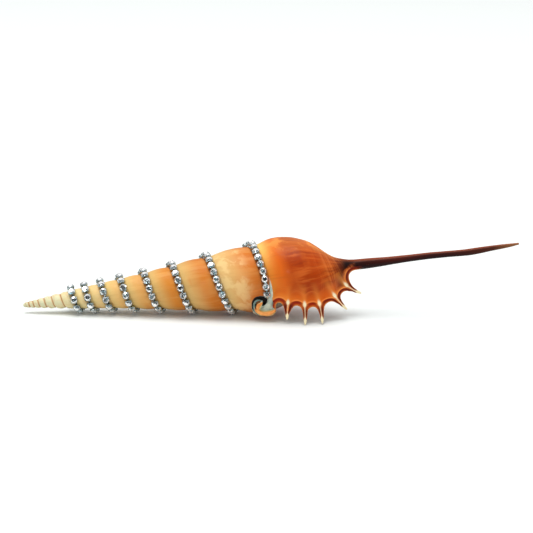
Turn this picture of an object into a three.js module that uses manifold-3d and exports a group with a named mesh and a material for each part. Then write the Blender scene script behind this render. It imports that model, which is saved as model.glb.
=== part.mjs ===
// A spindle-shaped tibia shell lying on its side, with a chain of set rhinestones glued along its suture.
// The shell grew as one piece: a tall spire, a body whorl with an open aperture, an outer lip with five
// finger-like spines, a curled canal at the lip's upper end and a long needle-like rostrum.
// The chain is one string of small metal cups, each holding a stone, wound down the spire whorl by whorl.
//
// Millimetres. The shell is drawn on its own axis first: x runs from the apex to the tip of the rostrum,
// and a turn of 0 points up, 0.25 to the front (the lip's side), 0.5 down and 0.75 back. The whole is then
// rolled and pitched to lie on a table at z = 0, with the rostrum towards +X and the spines towards -Y.

import * as THREE from "three";
import { mergeVertices } from "three/addons/utils/BufferGeometryUtils.js";
import Module from "manifold-3d";

const wasm = await Module();
wasm.setup();

// Driving dimensions of the shell
const LENGTH = 215; // apex to the tip of the rostrum
const COIL_ORIGIN = 6.3; // the coil's virtual point lies this far before the blunt apex
const WHORL_RATIO = 1.212; // growth in one turn
const LAST_SUTURE = 105.5; // distance of the suture from the coil's origin at turn 0 of the body whorl
const SUTURE_DROP = 1.3; // the last whorl leaves the regular coil by this much
const SUTURE_RISE = 3.0; // and climbs back by this much just before the lip
const LIP_TURN = 0.35; // where growth stopped
const TURNS = 14.5; // whorls from the first one to the lip
const APEX_TAPER = 0.129; // suture radius over distance from the coil's origin, at the first whorls
const SPIRE_TAPER = 0.117; // the same from the ninth whorl on
const BODY_TAPER = 0.1245; // the same on the body whorl
const BASE_END = 147; // where the base of the body whorl runs out into the rostrum, at turn 0
const BASE_END_PER_TURN = 11;
const WALL = 1.2; // thickness of the shell inside the whorls
const LIP_WALL = 2.6; // and at the lip
const ROLL = 16.25; // degrees about the axis, until the spines touch the table
const PITCH = 7.35; // degrees of the axis above the table

// Driving dimensions of the rhinestone chain
const CUP_PITCH = 3.28; // centre to centre along the chain
const CUP_LENGTH = 2.8;
const CUP_WIDTH = 3;
const STONE_TOP = 2.0; // height of the stone's table
const TABLE_WIDTH = 1.5;
const LINK_WIDTH = 0.9;
const LINK_HEIGHT = 0.6;
const CHAIN_START = -7.38; // turn where the chain starts, on the far side
const CHAIN_END = 0.351; // turn where it ends, above the curled canal
const CHAIN_GAP = 0.3; // glue line between cup and shell
const CHAIN_ASIDE = 0.3; // the chain's middle lies this far past the suture
const CHAIN_LEAN = 1.9; // round the back of whorl 0 it leans this far towards the apex
const LEAN_GROWTH = 1.7; // and this many times further on each later whorl
const CHAIN_SLACK = 0.6; // it stands off by this much near the top of each whorl

// Mesh steps
const COLUMNS = 20; // facets per turn
const WHORL_ROWS = 4;
const BASE_ROWS = 11;
const FINGER_SIDES = 6;

// The lip, seen from the front: [along the axis, below the axis]. Its free edge is a row of arches, from
// the curled canal to the rostrum, with a spine between each two.
const LIP_ARCHES = [
  [[108.6, 15.2], [108.9, 13], [110.4, 12], [111.5, 12.6], [112.3, 15.4]],
  [[114.7, 16.5], [116, 14.8], [117.1, 14.3], [118.3, 14.4], [119.3, 15.2], [119.9, 16.6]],
  [[122.2, 16.9], [122.6, 16.3], [123.5, 15.8], [124.6, 15.6], [125.7, 16.1], [126.6, 17.5]],
  [[129.1, 16.8], [129.6, 15.7], [130.4, 14.8], [131.6, 14.3], [132.8, 14.2], [134.7, 15.2]],
  [[136.6, 13.6], [136.6, 12.4], [137.1, 11.4], [138.1, 10.6], [139.4, 10.4], [140.7, 10.7]],
  [[142.3, 8.8], [141.5, 7.2], [141.1, 5.4], [141.3, 3.8], [142.2, 2.6], [143.7, 2], [146.2, 1.8]],
];
const SPINES = [
  { root: [113.6, 14.8], middle: [113.4, 17.2], tip: [113, 19.4] },
  { root: [121.2, 15.2], middle: [120.9, 19], tip: [120.4, 22.5] },
  { root: [127.8, 15.5], middle: [127.9, 19.2], tip: [127.7, 22.8] },
  { root: [134.9, 12.9], middle: [136.1, 15.3], tip: [138.5, 18.1] },
  { root: [140.2, 8.1], middle: [142.1, 10.5], tip: [145.4, 12] },
];
// The curled canal at the lip's upper end: [along the axis, below it, top in front of the lip's face, half
// the width]. A rim curls round the canal's mouth, and a wall stands outside it.
const CANAL_RIM = [
  [108.6, 14.4, 0.6, 0.25],
  [107.5, 15.6, 1.15, 0.72],
  [106.2, 16, 1.3, 0.85],
  [102.9, 15.8, 1.35, 0.8],
  [101.6, 15.2, 1.4, 0.82],
  [100.8, 13.9, 1.7, 0.92],
  [101.4, 12.4, 2.2, 0.85],
  [102.5, 11.8, 2.5, 0.55],
  [103.7, 11.1, 2.7, 0.15],
];
const CANAL_WALL = [
  [101, 15.9, 0, 0.5],
  [99.9, 14.6, 0.2, 0.55],
  [99.2, 12.7, 0.5, 0.6],
  [99.7, 11.1, 0.8, 0.6],
  [101.6, 10, 1.1, 0.5],
  [102.8, 10.1, 1.1, 0.25],
];
const CANAL_FLOOR = [
  [108.4, 12],
  [108.2, 15],
  [104, 15.8],
  [101.2, 15.4],
  [99.6, 14],
  [99.1, 12.4],
  [99.6, 11],
  [101.4, 10.1],
  [102.9, 10.5],
  [104.2, 11.5],
  [105.2, 10.4],
  [107, 9.3],
  [108.6, 9.6],
];
const CANAL_FLOOR_FRONT = 1.4; // depth of the floor's front and back behind the lip's face
const CANAL_FLOOR_BACK = 4.4;
const CURL_DEPTH = 0.7; // half the depth of the rim and the wall is their half width and this
const LIP_ROOT_START = 108.5;
const LIP_ROOT_END = 146;
const FLARE_START = (36 * Math.PI) / 180; // below this angle of the whorl's round the lip leaves it
const FLARE_LENGTH = 6.5;

// The aperture and the room behind it
const APERTURE_WIDTH = 8.5;
const APERTURE_ROWS = 5;
const CAVITY_TURNS = 2;
const CAVITY_STEPS = 18;

const TAU = 2 * Math.PI;
const clamp = (v, low, high) => Math.min(high, Math.max(low, v));
const clamp01 = (v) => clamp(v, 0, 1);
const lerp = (a, b, t) => a + (b - a) * t;
const smoothstep = (a, b, v) => {
  const t = clamp01((v - a) / (b - a));
  return t * t * (3 - 2 * t);
};

// A smooth function through a few [position, value] pairs: cubic pieces between them, and at each pair the
// mean slope around it
function curveThrough(pairs) {
  const slope = pairs.map((p, i) => {
    const before = pairs[Math.max(0, i - 1)];
    const after = pairs[Math.min(pairs.length - 1, i + 1)];
    return (after[1] - before[1]) / (after[0] - before[0]);
  });
  return (v) => {
    if (v <= pairs[0][0]) return pairs[0][1];
    if (v >= pairs[pairs.length - 1][0]) return pairs[pairs.length - 1][1];
    const i = pairs.findIndex((p) => p[0] > v) - 1;
    const [x0, y0] = pairs[i];
    const [x1, y1] = pairs[i + 1];
    const w = x1 - x0;
    const t = (v - x0) / w;
    const rest = 1 - t;
    return (
      y0 * (1 + 2 * t) * rest * rest +
      slope[i] * w * t * rest * rest +
      y1 * t * t * (3 - 2 * t) +
      slope[i + 1] * w * t * t * (t - 1)
    );
  };
}

// Whorl outlines: radius over suture radius, against distance past the suture over the suture's distance.
const spireOutline = curveThrough([
  [0, 1],
  [0.03, 1.085],
  [0.06, 1.16],
  [0.1, 1.23],
  [0.15, 1.262],
  [0.19, 1.24],
  [0.212, 1.212],
  [0.25, 1.08],
  [0.29, 0.82],
  [0.33, 0.52],
  [0.38, 0.22],
  [0.44, 0],
]);
const bodyOutline = curveThrough([
  [0, 1],
  [0.03, 1.07],
  [0.055, 1.135],
  [0.08, 1.2],
  [0.12, 1.24],
  [0.158, 1.227],
  [0.188, 1.188],
  [0.218, 1.105],
  [0.247, 0.992],
  [0.275, 0.803],
  [0.302, 0.577],
  [0.33, 0.378],
  [0.36, 0.252],
  [0.39, 0.15],
  [0.42, 0.05],
  [0.44, 0],
]);
const OUTLINE_FIXED = 0.16; // outlines keep their place up to here and are stretched past it
const OUTLINE_END = 0.44;

const rostrumRadius = curveThrough([
  [110, 0],
  [135, 2.1],
  [147, 2.25],
  [153, 2.08],
  [160, 1.75],
  [168, 1.52],
  [176, 1.44],
  [186, 1.36],
  [196, 1.42],
  [203, 1.16],
  [210, 0.84],
  [LENGTH, 0.4],
]);
// How far the shell's slightly bent middle line stands above its axis
const axisLift = curveThrough([
  [0, 0.2],
  [40, 0.2],
  [56, 0],
  [128, 0],
  [140, 0.5],
  [147, 0.38],
  [156, 0.3],
  [166, 0.4],
  [176, 0.42],
  [184, 0.2],
  [193, -0.07],
  [203, 0.4],
  [211, 0.7],
  [LENGTH, 0.95],
]);

const sutureDistance = (n) =>
  LAST_SUTURE * WHORL_RATIO ** n +
  SUTURE_DROP * smoothstep(-1, 0, n) -
  SUTURE_RISE * smoothstep(0.22, 0.42, n);
const taper = (n) =>
  lerp(lerp(APEX_TAPER, SPIRE_TAPER, clamp01((n + 12) / 9)), BODY_TAPER, smoothstep(-4, -0.5, n));
const sutureRadius = (n) => taper(n) * sutureDistance(n);
const sutureX = (n) => sutureDistance(n) - COIL_ORIGIN;
const baseEndX = (n) => BASE_END + BASE_END_PER_TURN * n;

// Radius of the whorl that grew at turn n, where its outline passes x.
function whorlRadius(n, x) {
  const start = sutureDistance(n);
  const exposed = sutureDistance(n + 1) - start;
  const toOutline = (at) => ((WHORL_RATIO - 1) * (at + COIL_ORIGIN - start)) / exposed;
  let v = toOutline(x);
  if (v > OUTLINE_FIXED) {
    const end = toOutline(baseEndX(n));
    const stretch = (OUTLINE_END - OUTLINE_FIXED) / (end - OUTLINE_FIXED);
    const share = lerp(1, stretch, smoothstep(-0.65, -0.3, n));
    if (n > LIP_TURN - 1 - 1e-6) v = OUTLINE_FIXED + (v - OUTLINE_FIXED) * share;
  }
  const shape = lerp(spireOutline(v), bodyOutline(v), smoothstep(-0.65, -0.1, n));
  const own = sutureRadius(n) * shape;
  const toNext = (sutureRadius(n + 1) - WHORL_RATIO * sutureRadius(n)) * clamp01(v / (WHORL_RATIO - 1));
  const grown = Math.max(0, own + (v < OUTLINE_END ? toNext * clamp01(shape) : 0));
  return n > LIP_TURN - 1 - 1e-6 ? (grown ** 4 + rostrumRadius(x) ** 4) ** 0.25 : grown;
}

// A point of the shell's own frame from its place on the axis, its turn and its radius.
function at(x, turn, radius) {
  const angle = TAU * turn;
  const lift = axisLift(x);
  return new THREE.Vector3(x, -radius * Math.sin(angle), radius * Math.cos(angle) + lift);
}

// Triangles gathered from points, then closed into one solid.
class Skin {
  constructor() {
    this.positions = [];
  }
  triangle(a, b, c) {
    this.positions.push(a.x, a.y, a.z, b.x, b.y, b.z, c.x, c.y, c.z);
  }
  // Quads between two rows of points that run side by side
  strip(rowA, rowB) {
    for (let i = 0; i + 1 < rowA.length; i++) {
      this.triangle(rowA[i], rowB[i], rowB[i + 1]);
      this.triangle(rowA[i], rowB[i + 1], rowA[i + 1]);
    }
  }
  fan(centre, ring) {
    for (let i = 0; i + 1 < ring.length; i++) this.triangle(centre, ring[i], ring[i + 1]);
  }
  solid() {
    const loose = new THREE.BufferGeometry();
    loose.setAttribute("position", new THREE.Float32BufferAttribute(this.positions, 3));
    const merged = mergeVertices(loose, 1e-3);
    const kept = [];
    const index = merged.index.array;
    for (let i = 0; i < index.length; i += 3) {
      const [a, b, c] = [index[i], index[i + 1], index[i + 2]];
      if (a !== b && b !== c && a !== c) kept.push(a, b, c);
    }
    const build = (corners) =>
      new wasm.Manifold(
        new wasm.Mesh({
          numProp: 3,
          vertProperties: new Float32Array(merged.attributes.position.array),
          triVerts: new Uint32Array(corners),
        }),
      );
    const made = build(kept);
    return made.volume() > 0 ? made : build(kept.reverse());
  }
}

function geometryOf(solid) {
  const mesh = solid.getMesh();
  const positions = [];
  for (let i = 0; i < mesh.numVert; i++) {
    positions.push(...mesh.vertProperties.slice(i * mesh.numProp, i * mesh.numProp + 3));
  }
  const geometry = new THREE.BufferGeometry();
  geometry.setAttribute("position", new THREE.Float32BufferAttribute(positions, 3));
  geometry.setIndex(Array.from(mesh.triVerts));
  geometry.computeVertexNormals();
  return geometry;
}

const range = (count, make) => Array.from({ length: count }, (_, i) => make(i));

// The coiled shell from the apex to the rostrum's tip. Columns of points run along the axis, one per facet
// of a turn. The column at the lip and the one a full turn earlier are joined by a flat radial face.
function coilSolid() {
  const skin = new Skin();
  const columnCount = Math.round(TURNS * COLUMNS);
  const firstTurn = LIP_TURN - columnCount / COLUMNS;
  const whorlColumn = (n) =>
    range(WHORL_ROWS + 1, (i) => {
      const x = lerp(sutureX(n), sutureX(n + 1), i / WHORL_ROWS);
      return at(x, n, whorlRadius(n, x));
    });
  const rostrumStart = baseEndX(LIP_TURN);
  const rostrumXs = [rostrumStart, 160, 172, 186, 198, 206, 211, LENGTH - 0.2];
  const baseColumn = (n) => [
    ...range(BASE_ROWS, (i) => {
      const x = lerp(sutureX(n + 1), rostrumStart, i / BASE_ROWS);
      return at(x, n, whorlRadius(n, x));
    }),
    ...rostrumXs.map((x) => at(x, n, rostrumRadius(x))),
  ];
  for (let j = 0; j < columnCount; j++) {
    const n = firstTurn + j / COLUMNS;
    const next = n + 1 / COLUMNS;
    skin.strip(whorlColumn(n), whorlColumn(next));
    if (j >= columnCount - COLUMNS) skin.strip(baseColumn(n), baseColumn(next));
  }
  const apex = new THREE.Vector3(0, 0, axisLift(0));
  skin.fan(apex, range(COLUMNS + 1, (i) => whorlColumn(firstTurn + 1 - i / COLUMNS)[0]));
  skin.fan(apex, whorlColumn(firstTurn));
  const tip = new THREE.Vector3(LENGTH, 0, axisLift(LENGTH));
  skin.fan(tip, range(COLUMNS + 1, (i) => baseColumn(LIP_TURN - 1 + i / COLUMNS).pop()));
  // the flat face in the plane of the lip, between the lip's column and the column a turn earlier
  const outer = [...whorlColumn(LIP_TURN), ...baseColumn(LIP_TURN).slice(1, BASE_ROWS + 1)];
  const inner = baseColumn(LIP_TURN - 1).slice(0, BASE_ROWS + 1);
  const border = [...outer, ...inner.slice(1, -1).reverse()];
  const flat = border.map((p) => new THREE.Vector2(p.x, Math.hypot(p.y, p.z - axisLift(p.x))));
  for (const [a, b, c] of THREE.ShapeUtils.triangulateShape(flat, [])) {
    skin.triangle(border[a], border[b], border[c]);
  }
  return skin.solid();
}

// How far in front of the axis the lip's outer face stands. It leaves the whorl's round and flares out.
function lipFront(x, below) {
  const radius = whorlRadius(LIP_TURN, x);
  const h = below + axisLift(x);
  const leaving = radius * Math.sin(FLARE_START);
  if (h <= leaving) return Math.sqrt(Math.max(0, radius ** 2 - h ** 2));
  const slope = Math.tan(FLARE_START);
  const past = Math.min(h - leaving, FLARE_LENGTH);
  return radius * Math.cos(FLARE_START) - slope * past * (1 - past / (2 * FLARE_LENGTH));
}

// A point of the shell's own frame from a place in the lip's picture: along, below and in front of the axis
const inFront = (x, below, front) => new THREE.Vector3(x, -front, -below);

// A closed sheet between a front and a back grid of points with the same rows
function sheetSolid(frontRows, backRows) {
  const skin = new Skin();
  for (let i = 0; i + 1 < frontRows.length; i++) {
    skin.strip(frontRows[i], frontRows[i + 1]);
    skin.strip(backRows[i + 1], backRows[i]);
  }
  const lastRow = frontRows.length - 1;
  const last = frontRows[0].length - 1;
  skin.strip(backRows[0], frontRows[0]);
  skin.strip(frontRows[lastRow], backRows[lastRow]);
  skin.strip(
    frontRows.map((row) => row[0]),
    backRows.map((row) => row[0]),
  );
  skin.strip(
    backRows.map((row) => row[last]),
    frontRows.map((row) => row[last]),
  );
  return skin.solid();
}

// The lip's sheet: each rail runs from inside the whorl's wall to one point of the free edge.
function lipSolid() {
  const edge = LIP_ARCHES.flat();
  const steps = [0, 0.3, 0.55, 0.8, 0.94, 1];
  const rails = edge.map(([edgeX, edgeBelow], i) => {
    const part = i / (edge.length - 1);
    const rootX = lerp(LIP_ROOT_START, LIP_ROOT_END, part);
    const radius = whorlRadius(LIP_TURN, rootX);
    const rootBelow = -radius * Math.cos(TAU * lerp(0.28, 0.2, part)) - axisLift(rootX);
    return steps.map((step) => {
      const x = lerp(rootX, edgeX, step);
      const below = lerp(rootBelow, edgeBelow, step);
      const sunk = 0.5 * (1 - smoothstep(0, 0.5, step));
      const front = lipFront(x, below) - sunk;
      const thickness = LIP_WALL * (step < 1 ? 1 : 0.6);
      return { front: inFront(x, below, front), back: inFront(x, below, front - thickness) };
    });
  });
  return sheetSolid(
    rails.map((rail) => rail.map((p) => p.front)),
    rails.map((rail) => rail.map((p) => p.back)),
  );
}

// A tapering finger along a path of points: [point, half width, half depth] for each station
function fingerSolid(stations) {
  const skin = new Skin();
  const depth = new THREE.Vector3(0, -1, 0);
  const rings = stations.map(([centre, halfWidth, halfDepth], i) => {
    const before = stations[Math.max(0, i - 1)][0];
    const after = stations[Math.min(stations.length - 1, i + 1)][0];
    const along = after.clone().sub(before).normalize();
    const across = along.clone().cross(depth).normalize();
    const up = across.clone().cross(along);
    return range(FINGER_SIDES + 1, (k) => {
      const angle = (TAU * k) / FINGER_SIDES;
      return centre
        .clone()
        .addScaledVector(across, halfWidth * Math.cos(angle))
        .addScaledVector(up, halfDepth * Math.sin(angle));
    });
  });
  for (let i = 0; i + 1 < rings.length; i++) skin.strip(rings[i], rings[i + 1]);
  skin.fan(stations[0][0], rings[0]);
  skin.fan(stations[stations.length - 1][0], rings[rings.length - 1].slice().reverse());
  return skin.solid();
}

// A spine of the lip: from its root in the sheet to its blunt tip
function spineSolid({ root, middle, tip }) {
  const halfWidths = [1.4, 0.98, 0.72, 0.48, 0.22];
  return fingerSolid(
    [0, 0.4, 0.7, 0.92, 1].map((t, i) => {
      const bend = (k) => lerp(lerp(root[k], middle[k], t), lerp(middle[k], tip[k], t), t);
      const [x, below] = [bend(0), bend(1)];
      const halfDepth = Math.min(0.5 * LIP_WALL, 1.15 * halfWidths[i]);
      return [inFront(x, below, lipFront(x, below) - 0.4 * LIP_WALL), halfWidths[i], halfDepth];
    }),
  );
}

// The curled canal's floor: a plate between the lip's foot and the curl, thick enough to sit on the whorl
function floorSolid() {
  const skin = new Skin();
  const flat = CANAL_FLOOR.map(([x, below]) => new THREE.Vector2(x, below));
  const layer = (depth) => CANAL_FLOOR.map(([x, below]) => inFront(x, below, lipFront(x, below) - depth));
  const front = layer(CANAL_FLOOR_FRONT);
  const back = layer(CANAL_FLOOR_BACK);
  for (const [a, b, c] of THREE.ShapeUtils.triangulateShape(flat, [])) {
    skin.triangle(front[a], front[b], front[c]);
    skin.triangle(back[a], back[c], back[b]);
  }
  const closed = (ring) => [...ring, ring[0]];
  skin.strip(closed(front), closed(back));
  return skin.solid();
}

// The room behind the aperture: lens-shaped sections swept back into the whorl, each smaller than the last
function cavitySolid() {
  const skin = new Skin();
  const sections = range(CAVITY_STEPS + 1, (j) => {
    const back = j / CAVITY_STEPS;
    const n = lerp(LIP_TURN + 0.012, LIP_TURN - CAVITY_TURNS, back);
    const start = sutureX(n) + 0.047 * sutureDistance(n);
    const end = n > LIP_TURN - 1 ? baseEndX(n) - 8.5 : sutureX(n) + 0.32 * sutureDistance(n);
    const narrow = lerp(APERTURE_WIDTH, 2 * APERTURE_WIDTH, smoothstep(0, 0.2, back));
    const places = range(APERTURE_ROWS + 1, (i) => {
      const x = lerp(start, end, i / APERTURE_ROWS);
      const outer = whorlRadius(n, x) - lerp(WALL, LIP_WALL, smoothstep(-0.3, 0.3, n));
      const columella = Math.max(whorlRadius(n - 1 - 1e-3, x) + 0.8 * WALL, 2.5, outer - narrow);
      const half = Math.max(0.3, 0.5 * (outer - columella) * lerp(1, 0.25, smoothstep(0.9, 1, back)));
      return { x, middle: Math.max(outer - half, 0.5 * (outer + columella)), half };
    });
    const outerSide = places.map((p) => at(p.x, n, p.middle + p.half));
    const innerSide = places.map((p) => at(p.x, n, p.middle - p.half)).reverse();
    return [...outerSide, ...innerSide];
  });
  const closed = (ring) => [...ring, ring[0]];
  for (let j = 0; j < CAVITY_STEPS; j++) skin.strip(closed(sections[j]), closed(sections[j + 1]));
  const ladder = (ring, flip) => {
    for (let i = 0; i < APERTURE_ROWS; i++) {
      const [a, b, c, d] = [ring[i], ring[i + 1], ring[ring.length - 2 - i], ring[ring.length - 1 - i]];
      if (flip) skin.strip([a, b], [d, c]);
      else skin.strip([d, c], [a, b]);
    }
  };
  ladder(sections[0], false);
  ladder(sections[CAVITY_STEPS], true);
  return skin.solid();
}

// The chain's seat at turn n: the line across the suture that clears both whorls by the glue line
function chainSeat(n) {
  const around = n - Math.floor(n);
  const atBack = smoothstep(0.4, 0.56, around) * (1 - smoothstep(0.93, 1, around));
  const lean = CHAIN_LEAN * LEAN_GROWTH ** n * atBack;
  const slack = CHAIN_SLACK * Math.max(0, Math.cos(TAU * (n + 0.05))) ** 2;
  const middle = sutureX(n) + CHAIN_ASIDE - lean;
  const surface = (x) => (x < sutureX(n) ? whorlRadius(n - 1, x) : whorlRadius(n, x));
  const left = surface(middle - 0.6 * CUP_WIDTH);
  const right = surface(middle + 0.6 * CUP_WIDTH);
  const slope = clamp(0.6 * (right - left) / (1.2 * CUP_WIDTH), -0.1, 0.35);
  const clear = range(9, (i) => {
    const aside = CUP_WIDTH * (i / 8 - 0.5);
    return surface(middle + aside) - slope * aside;
  });
  return { x: middle, radius: Math.max(...clear) + CHAIN_GAP + slack, slope };
}

// The string of cups: a trapezoid section, wide and tall at each cup and small at the links between cups.
function chainSolid() {
  const seatPoint = (n) => {
    const seat = chainSeat(n);
    return at(seat.x, n, seat.radius);
  };
  const fine = range(1601, (i) => lerp(CHAIN_START, CHAIN_END, i / 1600));
  const lengths = [0];
  for (let i = 1; i < fine.length; i++) {
    lengths.push(lengths[i - 1] + seatPoint(fine[i]).distanceTo(seatPoint(fine[i - 1])));
  }
  const total = lengths[lengths.length - 1];
  const turnAt = (length) => {
    const i = Math.max(1, lengths.findIndex((l) => l >= length));
    return lerp(fine[i - 1], fine[i], (length - lengths[i - 1]) / (lengths[i] - lengths[i - 1]));
  };
  const cups = Math.round((total - CUP_LENGTH) / CUP_PITCH) + 1;
  const pitch = (total - CUP_LENGTH) / (cups - 1);
  const skin = new Skin();
  const section = (length, halfFoot, halfTop, height) => {
    const n = turnAt(Math.min(Math.max(length, 0), total));
    const seat = chainSeat(n);
    const place = at(seat.x, n, seat.radius);
    const outwards = at(seat.x, n, seat.radius + 1).sub(place);
    const alongAxis = new THREE.Vector3(1, 0, 0);
    const across = alongAxis.clone().addScaledVector(outwards, seat.slope).normalize();
    const up = outwards.clone().addScaledVector(alongAxis, -seat.slope).normalize();
    const corner = (aside, high) => place.clone().addScaledVector(across, aside).addScaledVector(up, high);
    return [
      corner(-halfFoot, 0),
      corner(-halfTop, height),
      corner(halfTop, height),
      corner(halfFoot, 0),
      corner(-halfFoot, 0),
    ];
  };
  const rings = [];
  for (let i = 0; i < cups; i++) {
    const middle = 0.5 * CUP_LENGTH + i * pitch;
    for (const side of [-1, -0.5, 0.5, 1]) {
      const isEnd = Math.abs(side) === 1;
      const halfFoot = 0.5 * (isEnd ? LINK_WIDTH : CUP_WIDTH);
      const halfTop = isEnd ? 0.35 * LINK_WIDTH : 0.5 * TABLE_WIDTH;
      const height = isEnd ? LINK_HEIGHT : STONE_TOP;
      rings.push(section(middle + 0.5 * side * CUP_LENGTH, halfFoot, halfTop, height));
    }
  }
  for (let i = 0; i + 1 < rings.length; i++) skin.strip(rings[i], rings[i + 1]);
  const cap = (ring, flip) => {
    const [a, b, c, d] = ring;
    if (flip) skin.strip([a, b], [d, c]);
    else skin.strip([d, c], [a, b]);
  };
  cap(rings[0], false);
  cap(rings[rings.length - 1], true);
  return skin.solid();
}

let body = coilSolid().add(lipSolid());
for (const spine of SPINES) body = body.add(spineSolid(spine));
const curl = [CANAL_RIM, CANAL_WALL].map((stations) =>
  fingerSolid(
    stations.map(([x, below, top, half]) => {
      const halfDepth = half + CURL_DEPTH;
      return [inFront(x, below, lipFront(x, below) + top - halfDepth), half, halfDepth];
    }),
  ),
);
for (const piece of [...curl, floorSolid()]) body = body.add(piece);
body = body.subtract(cavitySolid());

const shell = new THREE.Mesh(
  geometryOf(body),
  new THREE.MeshStandardMaterial({ color: 0xd98a4a, roughness: 0.35, metalness: 0 }),
);
shell.name = "shell";

const chain = new THREE.Mesh(
  geometryOf(chainSolid()),
  new THREE.MeshStandardMaterial({ color: 0xc9ccd2, roughness: 0.2, metalness: 1 }),
);
chain.name = "rhinestone_chain";

// Rolled and pitched to its rest, then set on the table with the origin under the middle of its box
const laid = new THREE.Group();
laid.add(shell, chain);
laid.rotation.set(THREE.MathUtils.degToRad(-ROLL), THREE.MathUtils.degToRad(-PITCH), 0, "YXZ");
laid.updateMatrixWorld(true);
const box = new THREE.Box3().setFromObject(laid, true);
const middle = box.getCenter(new THREE.Vector3());
laid.position.set(-middle.x, -middle.y, -box.min.z);

const group = new THREE.Group();
group.add(laid);

export default group;
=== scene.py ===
"""A spindle-shaped tibia shell wound with a rhinestone chain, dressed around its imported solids.

The shell is drawn in millimetres on its own axis: x runs from the apex to the tip of the rostrum, and a turn
of 0 points up, 0.25 to the front where the lip is, 0.5 down and 0.75 back. A turn number that keeps counting
through the coil, n, is 0 on top of the body whorl and falls by one for each whorl towards the apex. Rolled
and pitched to its rest on the table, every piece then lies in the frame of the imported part, in metres.
"""

import math

import bmesh
import bpy
import numpy as np
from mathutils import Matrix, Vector


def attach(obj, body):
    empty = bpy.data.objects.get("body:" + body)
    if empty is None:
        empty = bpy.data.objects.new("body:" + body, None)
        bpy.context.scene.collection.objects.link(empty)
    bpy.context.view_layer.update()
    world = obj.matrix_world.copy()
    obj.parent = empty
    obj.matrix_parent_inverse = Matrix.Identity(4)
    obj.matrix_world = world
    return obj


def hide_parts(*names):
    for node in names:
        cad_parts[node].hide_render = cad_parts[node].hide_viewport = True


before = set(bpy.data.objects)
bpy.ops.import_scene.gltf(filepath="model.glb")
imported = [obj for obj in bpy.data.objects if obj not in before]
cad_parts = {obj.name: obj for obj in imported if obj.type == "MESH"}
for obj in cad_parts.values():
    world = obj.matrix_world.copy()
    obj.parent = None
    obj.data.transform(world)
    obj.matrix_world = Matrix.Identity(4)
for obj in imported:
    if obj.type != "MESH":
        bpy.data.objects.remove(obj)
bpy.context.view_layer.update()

MM = 0.001
TAU = 2 * math.pi

# The coil: its suture, the cone it lies on, and how the shell rests, rolled and pitched in degrees
LENGTH = 215.0
COIL_ORIGIN = 6.3
WHORL_RATIO = 1.212
LAST_SUTURE = 105.5
SUTURE_DROP = 1.3
SUTURE_RISE = 3.0
LIP_TURN = 0.35
TURNS = 14.5
APEX_TAPER = 0.129
SPIRE_TAPER = 0.117
BODY_TAPER = 0.1245
BASE_END = 147.0
BASE_END_PER_TURN = 11.0
ROLL = 16.25
PITCH = 7.35

# The lip, seen from the front: (along the axis, below the axis)
LIP_WALL = 2.6
LIP_ARCHES = [
    [
        (108.6, 15.2),
        (108.7, 14.2),
        (108.9, 13),
        (109.5, 12.3),
        (110.4, 12),
        (111.5, 12.6),
        (112.1, 13.9),
        (112.3, 15.4),
    ],
    [(114.7, 16.5), (115.2, 15.7), (116, 14.8), (117.1, 14.3), (118.3, 14.4), (119.3, 15.2), (119.9, 16.6)],
    [(122.2, 16.9), (122.6, 16.3), (123.5, 15.8), (124.6, 15.6), (125.7, 16.1), (126.6, 17.5)],
    [(129.1, 16.8), (129.6, 15.7), (130.4, 14.8), (131.6, 14.3), (132.8, 14.2), (133.8, 14.6), (134.7, 15.2)],
    [(136.6, 13.6), (136.6, 12.4), (137.1, 11.4), (138.1, 10.6), (139.4, 10.4), (140.7, 10.7)],
    [(142.3, 8.8), (141.5, 7.2), (141.1, 5.4), (141.3, 3.8), (142.2, 2.6), (143.7, 2), (146.2, 1.8)],
]
# A spine's middle line is a parabola from its root to its tip, drawn towards its middle. It is palest at the
# glow on the lip: the ray is the share of that further up the lip, and the neck the least share further down.
SPINES = [
    {
        "ray": 0.7,
        "neck": 0.66,
        "glow": (114.3, 12.4),
        "root": (113.6, 14.8),
        "middle": (113.4, 17.2),
        "tip": (113, 19.4),
    },
    {
        "ray": 0.7,
        "neck": 0.66,
        "glow": (121.2, 14.1),
        "root": (121.2, 15.2),
        "middle": (120.9, 19),
        "tip": (120.4, 22.5),
    },
    {
        "ray": 0.8,
        "neck": 0.66,
        "glow": (127.4, 14.4),
        "root": (127.8, 15.5),
        "middle": (127.9, 19.2),
        "tip": (127.7, 22.8),
    },
    {
        "ray": 1,
        "neck": 0.75,
        "glow": (134.2, 11.8),
        "root": (134.9, 12.9),
        "middle": (136.1, 15.3),
        "tip": (138.5, 18.1),
    },
    {
        "ray": 1,
        "neck": 0.75,
        "glow": (139.6, 7.8),
        "root": (140.2, 8.1),
        "middle": (142.1, 10.5),
        "tip": (145.4, 12),
    },
]
LIP_UPPER_EDGE = [(106.3, 6.7), (107.5, 8.8), (107.9, 11.5), (108, 13.6), (108.2, 14.9)]
FLARE_START = math.radians(36)
FLARE_LENGTH = 6.5
SHOULDER_STEP = 1.5
EDGE_THINNING = 0.42
WELT = 0.28
SPINE_RIDGE = 0.3
SPINE_RIDGE_WIDTH = 0.95
HEM_WIDTH = 1.95
LIP_TURNS_IN_UV = 0.14

# The room behind the aperture
POCKET_TURNS = 0.62
MOUTH_WIDTH = 9.2

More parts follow.
